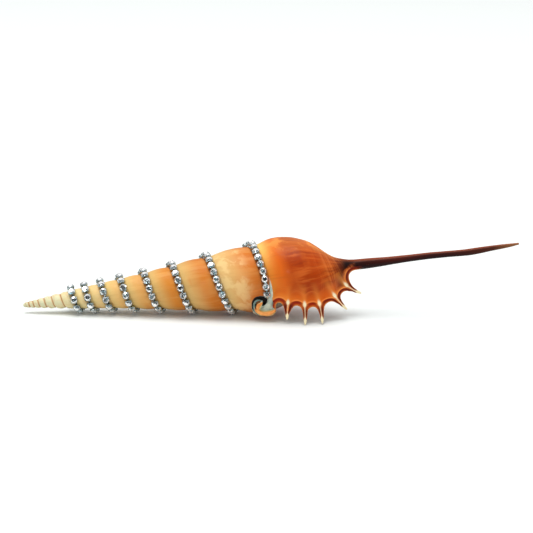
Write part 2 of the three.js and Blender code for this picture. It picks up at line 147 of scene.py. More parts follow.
# The curled canal: ridges as (along the axis, below it, top in front of the lip's face, half width)
CANAL_RIM = [
    (108.75, 13.8, 0.3, 0.14),
    (108.55, 14.7, 0.6, 0.3),
    (107.8, 15.4, 0.95, 0.56),
    (106.2, 16, 1.3, 0.85),
    (104.6, 16.1, 1.35, 0.85),
    (102.9, 15.8, 1.35, 0.8),
    (101.6, 15.2, 1.4, 0.82),
    (100.8, 14.3, 1.6, 0.92),
    (100.8, 13.3, 1.9, 0.95),
    (101.4, 12.4, 2.2, 0.85),
    (102.5, 11.8, 2.5, 0.55),
    (103.7, 11.1, 2.7, 0.12),
]
CANAL_WALL = [
    (101, 15.9, 0.0, 0.5),
    (100.2, 14.7, 0.2, 0.55),
    (99.7, 13.4, 0.4, 0.58),
    (99.6, 12.2, 0.6, 0.58),
    (100, 11.2, 0.8, 0.56),
    (100.7, 10.5, 1.0, 0.52),
    (101.7, 10.05, 1.1, 0.46),
    (102.8, 10.1, 1.1, 0.25),
]
CALLUS = [
    (107.8, -0.5, -0.1, 0.3),
    (107.9, 3, 0.15, 0.45),
    (107.9, 6, 0.35, 0.6),
    (107.5, 8.6, 0.5, 0.85),
    (106.8, 10.6, 0.2, 1.1),
    (106.1, 12, -0.4, 1.15),
    (105, 13.2, -0.9, 1.2),
    (103.6, 13.9, -1.3, 1.1),
]
# The gap where the canal stands off the whorl above it, and the slit behind its curl, in the same four
# values; both are painted near black as shade
CANAL_GAP = [
    (99, 14.4, 0, 0.12),
    (98.85, 12.8, 0, 0.25),
    (99.05, 11.2, 0, 0.36),
    (99.7, 10, 0, 0.46),
    (100.8, 9.2, 0, 0.6),
    (102.3, 9, 0, 0.75),
    (103.7, 9.4, 0, 1.0),
    (104.6, 10.1, 0, 1.15),
    (104.2, 11.4, 0, 0.75),
    (103.4, 12.3, 0, 0.3),
]
CANAL_SLIT = [
    (102.5, 10.7, 0, 0.3),
    (101.2, 11, 0, 0.36),
    (100.55, 11.9, 0, 0.34),
    (100.3, 12.9, 0, 0.26),
    (100.35, 13.8, 0, 0.12),
]
CANAL_OUTLINE = [
    (107.9, 9.2),
    (108.2, 12),
    (108.6, 14.2),
    (108.6, 15.6),
    (107.4, 16.8),
    (105.3, 17.2),
    (102.6, 16.8),
    (100.4, 16.1),
    (98.9, 14.9),
    (98.3, 12.9),
    (98.3, 10.6),
    (99, 8.8),
    (100.6, 7.7),
    (102.6, 7.4),
    (104.5, 7.5),
    (106.4, 8),
]
CANAL_CENTRE = (104.4, 12.7)
# the plate over the gap lies this far over the whorl behind, as a film painted black for the gap's shade
PAINTED_GAP_FILM = 0.07
GAP_DEPTH = 2.6
SLIT_DEPTH = 1.1
PLATE_DEPTH = 2.2
PLATE_SWELL = 2.4

# The chain: how far apart its cups sit and how it lies along the suture
CUP_PITCH = 3.28
CUP_LENGTH = 2.6
CUP_WIDTH = 2.7
CHAIN_START = -7.38
CHAIN_END = 0.351
CHAIN_GAP = 0.08
CHAIN_ASIDE = 0.3
CHAIN_LEAN = 1.9
LEAN_GROWTH = 1.7
CHAIN_SLACK = 0.6

# A cup's section, the rings of its stone and of the foil behind it: (radius, height above the seat)
CUP_PROFILE = [(0, 0), (1.2, 0), (1.5, 0.28), (1.6, 1.1), (1.57, 1.28), (1.5, 1.26), (1.49, 1.0), (0, 0.2)]
STONE_TABLE = (0.82, 2.0)
STONE_CROWN = (1.12, 1.76)
STONE_GIRDLE = (1.46, 1.34)
STONE_BACK = (1.46, 1.22)
FOIL_RIM = (1.45, 1.2)
FOIL_WAIST = (0.78, 0.78)
FOIL_POINT = 0.4
# A prong's inner and outer edge at its root, then at its tip: (radius, height, half width)
PRONG_EDGES = [(1.46, 0.9, 0.36), (1.78, 0.95, 0.36), (1.16, 1.56, 0.2), (1.34, 1.68, 0.2)]
LINK_REACH = 1.12
LINK_HALF_WIDTH = 0.42
LINK_BOTTOM = 0.12
LINK_TOP = 0.5

# The studio: the sky's strength at the horizon and high up, and the camera, in degrees, mm and metres
SKY_LOW = 0.28
SKY_HIGH = 0.92
CAMERA_AZIMUTH = 0.88
CAMERA_ELEVATION = 14.5
CAMERA_DISTANCE = 0.9
CAMERA_AIM = (105.1, 0, 17.93)
LENS = 141.6

# Mesh steps
COLUMNS = 128
WHORL_ROWS = 14
BASE_ROWS = 64
DOME_ROWS = 7
JOIN_TURN = 0.16
LEAVE_TURN = 0.30
JOIN_COLUMNS = 13
SHAFT_END = 205.0
SHAFT_ROWS = 40
POINT_ROWS = 14
UPPER_POINTS = 21
ARCH_POINTS = 26
LAST_ARCH_POINTS = 60
SPINE_ROWS = 13
SPINE_TIP_POINTS = 7
NEAR_ROWS = 16
FAR_ROWS = 20
POCKET_ROWS = 32
CANAL_ROWS = 49
CANAL_COLUMNS = 151
CANAL_BACK_ROWS = 9
BEAD_ROWS = 70
BEAD_SIDES = 24
CUP_SIDES = 12

# The value of a distance that is too far away to matter, and the growth UV of the whole curled canal
FAR_AWAY = 40.0
CANAL_UV = (0.4, 0.2)


def smoothstep(a, b, v):
    """0 at a, 1 at b and a cubic S between them, level beyond both."""
    t = np.clip((np.asarray(v, float) - a) / (b - a), 0, 1)
    return t * t * (3 - 2 * t)


def lerp(a, b, t):
    """The straight line from a, at t = 0, to b, at t = 1."""
    return a + (b - a) * t


def pair(a, b):
    """Two arrays side by side as the last axis, as a UV or a place in the picture."""
    return np.stack(np.broadcast_arrays(a, b), -1)


def curve_through(pairs):
    """A function through [position, value] pairs: cubic pieces with the mean slope at each pair."""
    xs, ys = np.array(pairs, float).T
    before = np.maximum(np.arange(len(xs)) - 1, 0)
    after = np.minimum(np.arange(len(xs)) + 1, len(xs) - 1)
    slope = (ys[after] - ys[before]) / (xs[after] - xs[before])

    def value(v):
        v = np.clip(np.asarray(v, float), xs[0], xs[-1])
        i = np.clip(np.searchsorted(xs, v, side="right") - 1, 0, len(xs) - 2)
        w = xs[i + 1] - xs[i]
        t = (v - xs[i]) / w
        r = 1 - t
        return (
            ys[i] * (1 + 2 * t) * r * r
            + slope[i] * w * t * r * r
            + ys[i + 1] * t * t * (3 - 2 * t)
            + slope[i + 1] * w * t * t * (t - 1)
        )

    return value


# Whorl outlines: radius over suture radius, against distance past the suture over the suture's own
# distance
OUTLINE_FIXED = 0.16
OUTLINE_END = 0.44
spire_outline = curve_through(
    [
        [0, 1],
        [0.03, 1.085],
        [0.06, 1.16],
        [0.1, 1.23],
        [0.15, 1.262],
        [0.19, 1.24],
        [0.212, 1.212],
        [0.25, 1.08],
        [0.29, 0.82],
        [0.33, 0.52],
        [0.38, 0.22],
        [0.44, 0],
    ]
)
body_outline = curve_through(
    [
        [0, 1],
        [0.03, 1.07],
        [0.055, 1.135],
        [0.08, 1.2],
        [0.12, 1.24],
        [0.158, 1.227],
        [0.188, 1.188],
        [0.218, 1.105],
        [0.247, 0.992],
        [0.275, 0.803],
        [0.302, 0.577],
        [0.33, 0.378],
        [0.36, 0.252],
        [0.39, 0.15],
        [0.42, 0.05],
        [0.44, 0],
    ]
)
# the first whorls are rounder, with a deeper suture
apex_outline = curve_through(
    [
        [0, 1],
        [0.015, 1.11],
        [0.04, 1.22],
        [0.08, 1.31],
        [0.12, 1.33],
        [0.16, 1.29],
        [0.195, 1.235],
        [0.212, 1.212],
        [0.44, 0],
    ]
)
rostrum_radius = curve_through(
    [
        [110, 0],
        [135, 2.1],
        [147, 2.25],
        [153, 2.08],
        [160, 1.75],
        [168, 1.52],
        [176, 1.44],
        [186, 1.36],
        [196, 1.42],
        [203, 1.16],
        [210, 0.84],
        [LENGTH, 0.4],
    ]
)
axis_lift = curve_through(
    [
        [0, 0.2],
        [40, 0.2],
        [56, 0],
        [128, 0],
        [140, 0.5],
        [147, 0.38],
        [156, 0.3],
        [166, 0.4],
        [176, 0.42],
        [184, 0.2],
        [193, -0.07],
        [203, 0.4],
        [211, 0.7],
        [LENGTH, 0.95],
    ]
)


def suture_distance(n):
    """Distance from the coil's origin: grows by the whorl ratio each turn, drops late and rises at
    the lip."""
    n = np.asarray(n, float)
    regular = LAST_SUTURE * WHORL_RATIO**n
    return regular + SUTURE_DROP * smoothstep(-1, 0, n) - SUTURE_RISE * smoothstep(0.22, 0.42, n)


def suture_radius(n):
    """The suture's radius: its distance times a taper, which falls along the early spire and rises on
    the body."""
    spire = lerp(APEX_TAPER, SPIRE_TAPER, np.clip((np.asarray(n) + 12) / 9, 0, 1))
    return lerp(spire, BODY_TAPER, smoothstep(-4, -0.5, n)) * suture_distance(n)


def suture_x(n):
    """The suture's place along the axis."""
    return suture_distance(n) - COIL_ORIGIN


def base_end_x(n):
    """Where the last whorl's base ends on the rostrum, further out with each turn."""
    return BASE_END + BASE_END_PER_TURN * np.asarray(n, float)


def outline_place(n, x):
    """How far x lies past the suture of turn n, in shares of its distance, where the next suture is at the
    whorl ratio less 1. On the last whorl the part past OUTLINE_FIXED is stretched to end at the rostrum."""
    start = suture_distance(n)
    exposed = suture_distance(np.asarray(n) + 1) - start
    place = (WHORL_RATIO - 1) * (x + COIL_ORIGIN - start) / exposed
    end = (WHORL_RATIO - 1) * (base_end_x(n) + COIL_ORIGIN - start) / exposed
    stretch = lerp(1, (OUTLINE_END - OUTLINE_FIXED) / (end - OUTLINE_FIXED), smoothstep(-0.65, -0.3, n))
    last = (n > LIP_TURN - 1 - 1e-6) & (place > OUTLINE_FIXED)
    return np.where(last, OUTLINE_FIXED + (place - OUTLINE_FIXED) * stretch, place)


def whorl_radius(n, x):
    """Radius of the whorl grown at turn n, where it passes x: suture radius times its outline, grown
    to the next suture, and on the last whorl joined to the rostrum by the fourth root of the sum of
    fourth powers."""
    n, x = np.broadcast_arrays(np.asarray(n, float), np.asarray(x, float))
    place = outline_place(n, x)
    early = lerp(spire_outline(place), apex_outline(place), smoothstep(-4.5, -9.0, n))
    shape = lerp(early, body_outline(place), smoothstep(-0.65, -0.1, n))
    own = suture_radius(n) * shape
    to_next = suture_radius(n + 1) - WHORL_RATIO * suture_radius(n)
    share = np.clip(place / (WHORL_RATIO - 1), 0, 1)
    grown = own + np.where(place < OUTLINE_END, to_next * share * np.clip(shape, 0, 1), 0)
    return (np.maximum(grown, 0) ** 4 + rostrum_radius(x) ** 4) ** 0.25


def at(x, turn, radius):
    """Points at a place on the axis, a turn and a radius, about the shell's slightly bent middle line."""
    angle = TAU * np.asarray(turn, float)
    y, z = -radius * np.sin(angle), radius * np.cos(angle) + axis_lift(x)
    return np.stack(np.broadcast_arrays(x, y, z), -1)


def lip_front(x, below):
    """How far in front of the axis the lip's outer face stands: on the whorl's own round down to the flare,
    where the turn gives the radius, and past it a parabola that leaves the round and ends upright."""
    h = below + axis_lift(x)
    radius = whorl_radius(LIP_TURN, x)
    leaving = radius * math.sin(FLARE_START)
    round_radius = radius
    for _ in range(3):
        turn = np.arccos(np.clip(-h / np.maximum(round_radius, 1e-6), -1, 1)) / TAU
        round_radius = whorl_radius(np.clip(turn, 0, LIP_TURN), x)
    on_round = np.sqrt(np.maximum(0, round_radius**2 - h**2))
    past = np.clip(h - leaving, 0, FLARE_LENGTH)
    slope = math.tan(FLARE_START)
    flared = radius * math.cos(FLARE_START) - slope * past * (1 - past / (2 * FLARE_LENGTH))
    return np.where(h <= leaving, on_round, flared)


def coil_front(x, below):
    """How far in front of the axis the whorl behind the curled canal stands: the turn there gives its
    radius r, and the front is sqrt(r^2 - h^2) with h the depth below the bent middle line."""
    h = below + axis_lift(x)
    radius = whorl_radius(LIP_TURN - 1, x)
    for _ in range(3):
        radius = whorl_radius(np.arcsin(np.clip(h / radius, 0, 1)) / TAU - 0.75, x)
    return np.sqrt(np.maximum(0, radius**2 - h**2))


def in_front(x, below, front):
    """Points given by their place in the picture and how far in front of the axis they stand."""
    return np.stack(np.broadcast_arrays(x, -front, -below), -1)


def apex_of(solid):
    """The solid's point that lies furthest towards the apex."""
    corners = np.empty(3 * len(solid.vertices), np.float32)
    solid.vertices.foreach_get("co", corners)
    corners = corners.reshape(-1, 3).astype(float)
    return corners[corners[:, 0].argmin()]


def turned(points):
    """Own frame to the table's directions: rolled about the axis, then pitched up."""
    roll, pitch = math.radians(ROLL), math.radians(PITCH)
    x, y, z = np.moveaxis(np.asarray(points, float), -1, 0)
    y, z = y * math.cos(roll) + z * math.sin(roll), -y * math.sin(roll) + z * math.cos(roll)
    x, z = x * math.cos(pitch) - z * math.sin(pitch), x * math.sin(pitch) + z * math.cos(pitch)
    return np.stack([x, y, z], -1)


OFFSET = apex_of(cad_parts["shell"].data) / MM - turned((0, 0, axis_lift(0)))


def on_table(points):
    """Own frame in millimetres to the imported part's frame in metres."""
    return (turned(points) + OFFSET) * MM


def sample_curve(points, count):
    """Evenly spaced points on a smooth curve through a few, each coordinate a cubic over the chord length."""
    points = np.asarray(points, float)
    chord = np.concatenate([[0], np.cumsum(np.linalg.norm(np.diff(points, axis=0), axis=1))])
    tracks = [curve_through(np.stack([chord, column], 1)) for column in points.T]
    fine = np.linspace(0, chord[-1], 40 * len(points))
    line = np.stack([track(fine) for track in tracks], 1)
    run = np.concatenate([[0], np.cumsum(np.linalg.norm(np.diff(line, axis=0), axis=1))])
    even = np.linspace(0, run[-1], count)
    return np.stack([np.interp(even, run, column) for column in line.T], 1)


class Parts:
    """Gathers grids of points into one mesh, with a growth UV (turn, across) and named values."""

    NAMES = ("edge", "inside", "cream", "tip", "lip", "canal", "rim", "wall", "dark", "before", "after")
    FAR = {"edge": FAR_AWAY, "tip": FAR_AWAY, "before": FAR_AWAY, "after": FAR_AWAY}

    def __init__(self):
        self.points, self.uvs, self.values, self.faces = [], [], {name: [] for name in self.NAMES}, []
        self.count = 0

    def add_points(self, points, uv, **values):
        """Adds a grid's points, row by row, and gives the number of the first. The UV and the values
        spread over the grid, and a value that isn't given is far away or 0."""
        grid = points.shape[:-1]
        self.points.append(points.reshape(-1, 3))
        self.uvs.append(np.broadcast_to(uv, (*grid, 2)).reshape(-1, 2))
        for name in self.NAMES:
            value = np.asarray(values.get(name, self.FAR.get(name, 0)), float)
            self.values[name].append(np.broadcast_to(value, grid).ravel())
        start = self.count
        self.count += math.prod(grid)
        return start

    def add_sheet(self, points, uv, **values):
        """Adds a grid's points and the quads between them."""
        start = self.add_points(points, uv, **values)
        self.faces.append(start + grid_faces(*points.shape[:2]))
        return start


def grid_faces(rows, columns):
    """Quads of a grid of points stored row by row."""
    i, j = np.meshgrid(np.arange(rows - 1), np.arange(columns - 1), indexing="ij")
    a = i * columns + j
    return np.stack([a, a + columns, a + columns + 1, a + 1], -1).reshape(-1, 4)


def zipper(ids_a, params_a, ids_b, params_b):
    """Triangles between two rows with different counts, walking both by their parameter from 0 to 1."""
    ends = np.concatenate([params_a[1:], params_b[1:]])
    kinds = np.concatenate([np.zeros(len(params_a) - 1, int), np.ones(len(params_b) - 1, int)])
    kinds = kinds[np.argsort(ends, kind="stable")]
    done_a = np.concatenate([[0], np.cumsum(kinds == 0)])[:-1]
    done_b = np.concatenate([[0], np.cumsum(kinds == 1)])[:-1]
    from_a = np.stack([ids_a[done_a], ids_b[done_b], ids_a[np.minimum(done_a + 1, len(ids_a) - 1)]], 1)
    from_b = np.stack([ids_a[done_a], ids_b[done_b], ids_b[np.minimum(done_b + 1, len(ids_b) - 1)]], 1)
    return np.where((kinds == 0)[:, None], from_a, from_b)


def make_mesh(name, points, faces, uvs=None, values=None, smooth=True):
    """A mesh object from points and a list of face arrays, each of triangles, quads or longer faces."""
    mesh = bpy.data.meshes.new(name)
    mesh.from_pydata(points.tolist(), [], [face for block in faces for face in block.tolist()])
    mesh.update()
    if uvs is not None:
        corners = np.zeros(len(mesh.loops), np.int32)
        mesh.loops.foreach_get("vertex_index", corners)
        layer = mesh.uv_layers.new(name="growth")
        layer.data.foreach_set("uv", uvs[corners].astype(np.float32).ravel())
    for key, value in (values or {}).items():
        attribute = mesh.attributes.new(key, "FLOAT", "POINT")
        attribute.data.foreach_set("value", value.astype(np.float32))
    mesh.polygons.foreach_set("use_smooth", np.full(len(mesh.polygons), smooth))
    obj = bpy.data.objects.new(name, mesh)
    bpy.context.scene.collection.objects.link(obj)
    return obj


def merge_close(obj, distance):
    """Joins points closer than a distance, drops faces without area and turns the rest outwards."""
    work = bmesh.new()
    work.from_mesh(obj.data)
    bmesh.ops.remove_doubles(work, verts=work.verts, dist=distance)
    bmesh.ops.dissolve_degenerate(work, edges=work.edges, dist=distance * 0.1)
    bmesh.ops.recalc_face_normals(work, faces=work.faces)
    work.to_mesh(obj.data)
    work.free()


FIRST_TURN = LIP_TURN - TURNS
SPIRE_TURNS = np.arange(FIRST_TURN, LEAVE_TURN - 1 + 0.5 / COLUMNS, 1 / COLUMNS)
LAST_TURNS = np.linspace(LEAVE_TURN - 1, JOIN_TURN, int((1 + JOIN_TURN - LEAVE_TURN) * COLUMNS) + 1)
JOIN_TURNS = np.linspace(JOIN_TURN, LEAVE_TURN, JOIN_COLUMNS + 1)[1:]
ROSTRUM_START = float(base_end_x(LIP_TURN))


def whorl_rows():
    """Row parameters across one whorl, closer together near both sutures."""
    t = np.linspace(0, 1, WHORL_ROWS + 1)
    return t - 0.35 * np.sin(TAU * t) / TAU


def body_rows():
    """Row parameters from the suture (0) to the base's end (1). Where the last turn meets the whorl
    above, the first of them are that whorl's own rows."""
    start = float(suture_x(LEAVE_TURN - 1))
    share = (float(suture_x(LEAVE_TURN)) - start) / (ROSTRUM_START - start)
    return np.concatenate([share * whorl_rows(), np.linspace(share, 1, BASE_ROWS - WHORL_ROWS + 1)[1:]])


def body_x(n, rows):
    """Places along the last whorl's column at turn n, straight from its suture to the rostrum."""
    return lerp(suture_x(n), ROSTRUM_START, rows)


def spire_sheet(parts):
    """The whorls above the last, a column of rows for every step of the turn. A column ends on the
    suture that the next whorl's column starts from."""
    n = SPIRE_TURNS[:, None]
    ease = whorl_rows()
    x = lerp(suture_x(n), suture_x(n + 1), ease)
    # points on a suture are shared by two whorls, so both distances are 0 there
    before, after = suture_x(n + 1) - x, x - suture_x(n)
    before[:, 0], after[:, -1] = 0, 0
    parts.add_sheet(at(x, n, whorl_radius(n, x)), pair(n, ease), before=before, after=after)


def apex_cap(parts):
    """The first turn's cap, from the pole of a small dome to the suture, by the first whorl's outline."""
    start = float(suture_x(FIRST_TURN))
    n = SPIRE_TURNS[: COLUMNS + 1, None]
    dome = start * (1 - np.cos(np.linspace(0, 1, DOME_ROWS) * math.pi / 2))
    past_dome = start + (suture_x(n) - start) * whorl_rows()[1:]
    x = np.concatenate([np.broadcast_to(dome, (COLUMNS + 1, DOME_ROWS)), past_dome], axis=1)
    round_part = suture_radius(FIRST_TURN) * np.sqrt(np.clip(1 - (1 - x / start) ** 2, 0, 1))
    outline = np.where(x < start, round_part, whorl_radius(FIRST_TURN, np.maximum(x, start)))
    end = suture_radius(n) / whorl_radius(FIRST_TURN, suture_x(n))
    share = np.clip((x - start) / np.maximum(suture_x(n) - start, 1e-6), 0, 1)
    parts.add_sheet(at(x, n, outline * lerp(1, end, share)), pair(n, x * 0))


def body_sheet(parts):
    """The last whorl, each column straight from its suture down over the base to the rostrum. Gives
    the numbers of the points of its first and of its last column."""
    rows = body_rows()
    n = LAST_TURNS[:, None]
    x = body_x(n, rows)
    across = outline_place(n, x) / (WHORL_RATIO - 1)
    before = np.where(n < LEAVE_TURN - 1 + 1e-6, suture_x(n + 1) - x, FAR_AWAY)
    before[:, 0] = 0
    lip = smoothstep(-0.3, 0.1, n) * smoothstep(0.1, 0.25, rows)
    body = at(x, n, whorl_radius(n, x))
    start = parts.add_sheet(body, pair(n, across), before=before, after=x - suture_x(n), lip=lip)
    first_column = start + np.arange(len(rows))
    return first_column, first_column + (len(LAST_TURNS) - 1) * len(rows)


def rostrum_sheet(parts):
    """The rostrum from the base's end to its tip, closed by a small dome."""
    turns = np.concatenate([LAST_TURNS, JOIN_TURNS])
    shaft = np.linspace(ROSTRUM_START, SHAFT_END, SHAFT_ROWS)
    point = np.linspace(SHAFT_END + 1, LENGTH - 0.2, POINT_ROWS)
    x = np.concatenate([shaft, point, [LENGTH]])[:, None]
    radius = rostrum_radius(x)
    radius[-1] = 0
    start = parts.add_points(at(x, turns, radius), pair(turns, 2 + (x - ROSTRUM_START) / 40))
    parts.faces.append(start + grid_faces(len(x), len(turns))[:, ::-1])


def smooth_line(line, passes):
    """Each pass moves inner points half-way to the mean of their neighbours."""
    line = line.copy()
    for _ in range(passes):
        line[1:-1] = 0.25 * line[:-2] + 0.5 * line[1:-1] + 0.25 * line[2:]
    return line


def spine_line(spine, t):
    """Points on a spine's middle line, the parabola from its root to its tip drawn towards its middle."""
    root, middle, tip = (np.array(spine[key], float) for key in ("root", "middle", "tip"))
    t = np.asarray(t)[:, None]
    return lerp(lerp(root, middle, t), lerp(middle, tip, t), t)


spine_half_width = curve_through([[0, 1.5], [0.2, 1.22], [0.4, 0.98], [0.7, 0.72], [0.92, 0.48], [1, 0.34]])

# how pale a spine is, and how wide the pale part in mm, from the glow on the lip (0) to the spine's tip
# (1)
spine_pale = curve_through(
    [
        [-1.2, 0],
        [-0.7, 0.25],
        [-0.25, 0.5],
        [0, 1],
        [0.1, 0.85],
        [0.25, 0.35],
        [0.42, 0.25],
        [0.58, 0.5],
        [0.74, 0.95],
        [1, 1],
    ]
)
spine_pale_width = curve_through(
    [
        [-1.2, 1.5],
        [-0.5, 1.2],
        [-0.1, 1],
        [0.05, 1],
        [0.18, 0.6],
        [0.3, 0.4],
        [0.45, 0.32],
        [0.62, 0.38],
        [0.8, 0.6],
        [1, 0.7],
    ]
)


def spine_outline(spine):
    """Down one flank of a spine, round its blunt tip and up the other: the middle line plus and minus
    a width."""
    t = np.linspace(0.45, 0.985, SPINE_ROWS)
    line = spine_line(spine, t)
    step = spine_line(spine, t + 0.01) - spine_line(spine, t - 0.01)
    along = step / np.linalg.norm(step, axis=1, keepdims=True)
    across = np.stack([along[:, 1], -along[:, 0]], 1)
    width = spine_half_width(t)[:, None]
    angle = np.radians(np.linspace(-90, 90, SPINE_TIP_POINTS + 2)[1:-1, None])
    tip = line[-1] + width[-1] * (np.cos(angle) * along[-1] + np.sin(angle) * across[-1])
    return np.concatenate([line - width * across, tip, (line + width * across)[::-1]])


def lip_contour():
    """The free edge from the suture to the rostrum, and for each of its points a shoulder point just
    inside the lip. The shoulder of an arch is a step inwards from it; that of a spine runs straight
    across its root."""
    start_x = float(suture_x(LEAVE_TURN))
    start_point = at(start_x, LEAVE_TURN, whorl_radius(LEAVE_TURN, start_x))
    end_point = at(ROSTRUM_START, LEAVE_TURN, rostrum_radius(ROSTRUM_START))
    upper = [(start_point[0], -start_point[2]), *LIP_UPPER_EDGE, LIP_ARCHES[0][0]]
    lower = [*LIP_ARCHES[-1], (ROSTRUM_START, -end_point[2])]
    arches = [sample_curve(arch, ARCH_POINTS) for arch in LIP_ARCHES[:-1]]
    arches.append(sample_curve(lower, LAST_ARCH_POINTS))
    pieces = [sample_curve(upper, UPPER_POINTS + 1)[:-1], arches[0]]
    kinds = [np.zeros(len(piece)) for piece in pieces]
    for number, (spine, arch) in enumerate(zip(SPINES, arches[1:]), 1):
        flank = spine_outline(spine)
        pieces += [flank, arch]
        kinds += [np.full(len(flank), number), np.zeros(len(arch))]
    line = smooth_line(np.concatenate(pieces), 2)
    kind = np.concatenate(kinds)
    tangent = np.gradient(line, axis=0)
    tangent /= np.linalg.norm(tangent, axis=1, keepdims=True)
    inwards = pair(tangent[:, 1], -tangent[:, 0])
    on_arch = np.where(kind == 0)[0]
    step = SHOULDER_STEP * smoothstep(0, 30, on_arch) * smoothstep(0, 30, len(kind) - 1 - on_arch)
    shoulder_on_arch = line[on_arch] + inwards[on_arch] * step[:, None]
    index = np.arange(len(line))
    shoulder = np.stack([np.interp(index, on_arch, column) for column in shoulder_on_arch.T], 1)
    return line, smooth_line(shoulder, 6), kind


def nearest_distance(points, line):
    """Distance of each point to a polyline, the least over its segments."""
    a, b = line[:-1], line[1:]
    ab = b - a
    length = np.maximum((ab**2).sum(1), 1e-9)
    out = []
    for chunk in np.array_split(points, max(1, len(points) // 3000)):
        ap = chunk[:, None] - a
        t = np.clip((ap * ab).sum(-1) / length, 0, 1)
        out.append(np.linalg.norm(ap - t[..., None] * ab, axis=-1).min(1))
    return np.concatenate(out)


def share_along(points, start, end):
    """How far along the line from start (0) to end (1) the foot of each point lies."""
    line = end - start
    return ((points - start) * line).sum(-1) / (line**2).sum()


def contour_rows(kind):
    """Where each point of the contour meets the whorl's last column, from the suture (0) to the rostrum (1):
    a smooth curve that gives the upper edge, every spine and four places on the last arch their rows."""
    count = len(kind)
    tips = [np.where(kind == number + 1)[0].mean() / count for number in range(len(SPINES))]
    places = [0, 20.5 / count, *tips, *(1 - left / count for left in (38, 32, 26, 17)), 1]
    rows = [0.0, 0.085, 0.2, 0.36, 0.5, 0.635, 0.722, 0.765, 0.795, 0.83, 0.895, 1]
    dense = curve_through(np.stack([places, rows], 1))(np.linspace(0, 1, count))
    dense[0], dense[-1] = 0, 1
    return dense


def lip_sheet(base, shoulder, contour):
    """The lip in the picture plane, in straight lines from the whorl's last column (progress 0) to
    the shoulder (0.6) and on to the free edge (1), with rows closer together towards the edge."""
    near = np.linspace(0, 1, NEAR_ROWS + 1)[1:]
    far = 1 - (1 - np.linspace(0, 1, FAR_ROWS + 1)[1:]) ** 1.7
    sheet = [lerp(base, shoulder, near[:, None, None]), lerp(shoulder, contour, far[:, None, None])]
    return np.concatenate(sheet), np.concatenate([0.6 * near, 0.6 + 0.4 * far])


def spine_marks(sheet):
    """On each point of the lip's sheet, how pale it is, its distance to the nearest spine tip and how
    far it stands up. A spine's ray and ridge both fall off as exp(-(d / w)^2) with the distance d to
    the spine's middle line."""
    grid = sheet.shape[:2]
    flat = sheet.reshape(-1, 2)
    cream, ridge = np.zeros(grid), np.zeros(grid)
    tip = np.full(grid, FAR_AWAY)
    for spine in SPINES:
        glow, root, end = (np.array(spine[key], float) for key in ("glow", "root", "tip"))
        ray = spine_line({**spine, "root": glow}, np.linspace(-1.2, 1, 50))
        aside = nearest_distance(flat, ray).reshape(grid)
        run = share_along(sheet, glow, end)
        neck = spine["neck"] * smoothstep(0, 0.1, run)
        pale = np.maximum(spine_pale(run), neck) * lerp(spine["ray"], 1, smoothstep(-0.35, 0, run))
        cream = np.maximum(cream, pale * np.exp(-((aside / spine_pale_width(run)) ** 2)))
        rising = smoothstep(-0.8, 0.3, share_along(sheet, root, end))
        ridge = np.maximum(ridge, rising * np.exp(-((aside / SPINE_RIDGE_WIDTH) ** 2)))
        tip = np.minimum(tip, np.linalg.norm(sheet - end, axis=-1))
    return cream, tip, ridge


def lip_faces(sheet, progress, border, ridge, ends):
    """The lip's outer and inner face. The wall thins towards the edge and is rounded off there: with h
    half the wall, both faces draw in by h(1 - sqrt(1 - q^2)), where q grows from 0 at h from the edge to
    1 on it. A welt stands along the edge, and a ridge on every spine."""
    half = 0.5 * LIP_WALL * lerp(EDGE_THINNING, 1, smoothstep(0.5, 7, border)) * ends
    drop = half * (1 - np.sqrt(1 - (1 - np.clip(border / np.maximum(half, 1e-3), 0, 1)) ** 2))
    welt = WELT * smoothstep(3.0, 0.8, border) * smoothstep(0.3, 0.75, progress)[:, None] * ends
    raised = SPINE_RIDGE * ridge * smoothstep(0.35, 0.7, progress)[:, None]
    x, below = sheet[..., 0], sheet[..., 1]
    face = lip_front(x, below) + welt
    return in_front(x, below, face + raised - drop), in_front(x, below, face - 2 * half + drop)


def pocket(base_x, wall, ends):
    """The room behind the aperture: out along the inside of the outer wall, round its end and back along the
    whorl inside, which a callus thickens. It is less deep where the two walls lie close together."""
    go = np.linspace(0, 1, POCKET_ROWS + 1)[:, None]
    deep = np.interp(go, [0, 0.45, 0.55, 1], [0, 1, 1, 0])
    last, previous = whorl_radius(LEAVE_TURN, base_x), whorl_radius(LEAVE_TURN - 1, base_x)
    n = LEAVE_TURN - POCKET_TURNS * smoothstep(0.2, 3.0, last - wall - previous) * deep
    x = (base_x + COIL_ORIGIN) * WHORL_RATIO ** (n - LEAVE_TURN) - COIL_ORIGIN
    outside = whorl_radius(n, x) - wall
    inside = whorl_radius(n - 1, x)
    room = outside - inside
    callus = np.minimum(np.maximum(room - MOUTH_WIDTH, 0) + 0.5, np.maximum(room - 0.3, 0))
    inside = inside + callus * smoothstep(1, 0.93, go) * ends
    walls = at(x, n, lerp(outside, inside, smoothstep(0.42, 0.58, go)))
    walls[-1] = at(base_x, LEAVE_TURN - 1, previous)
    return walls


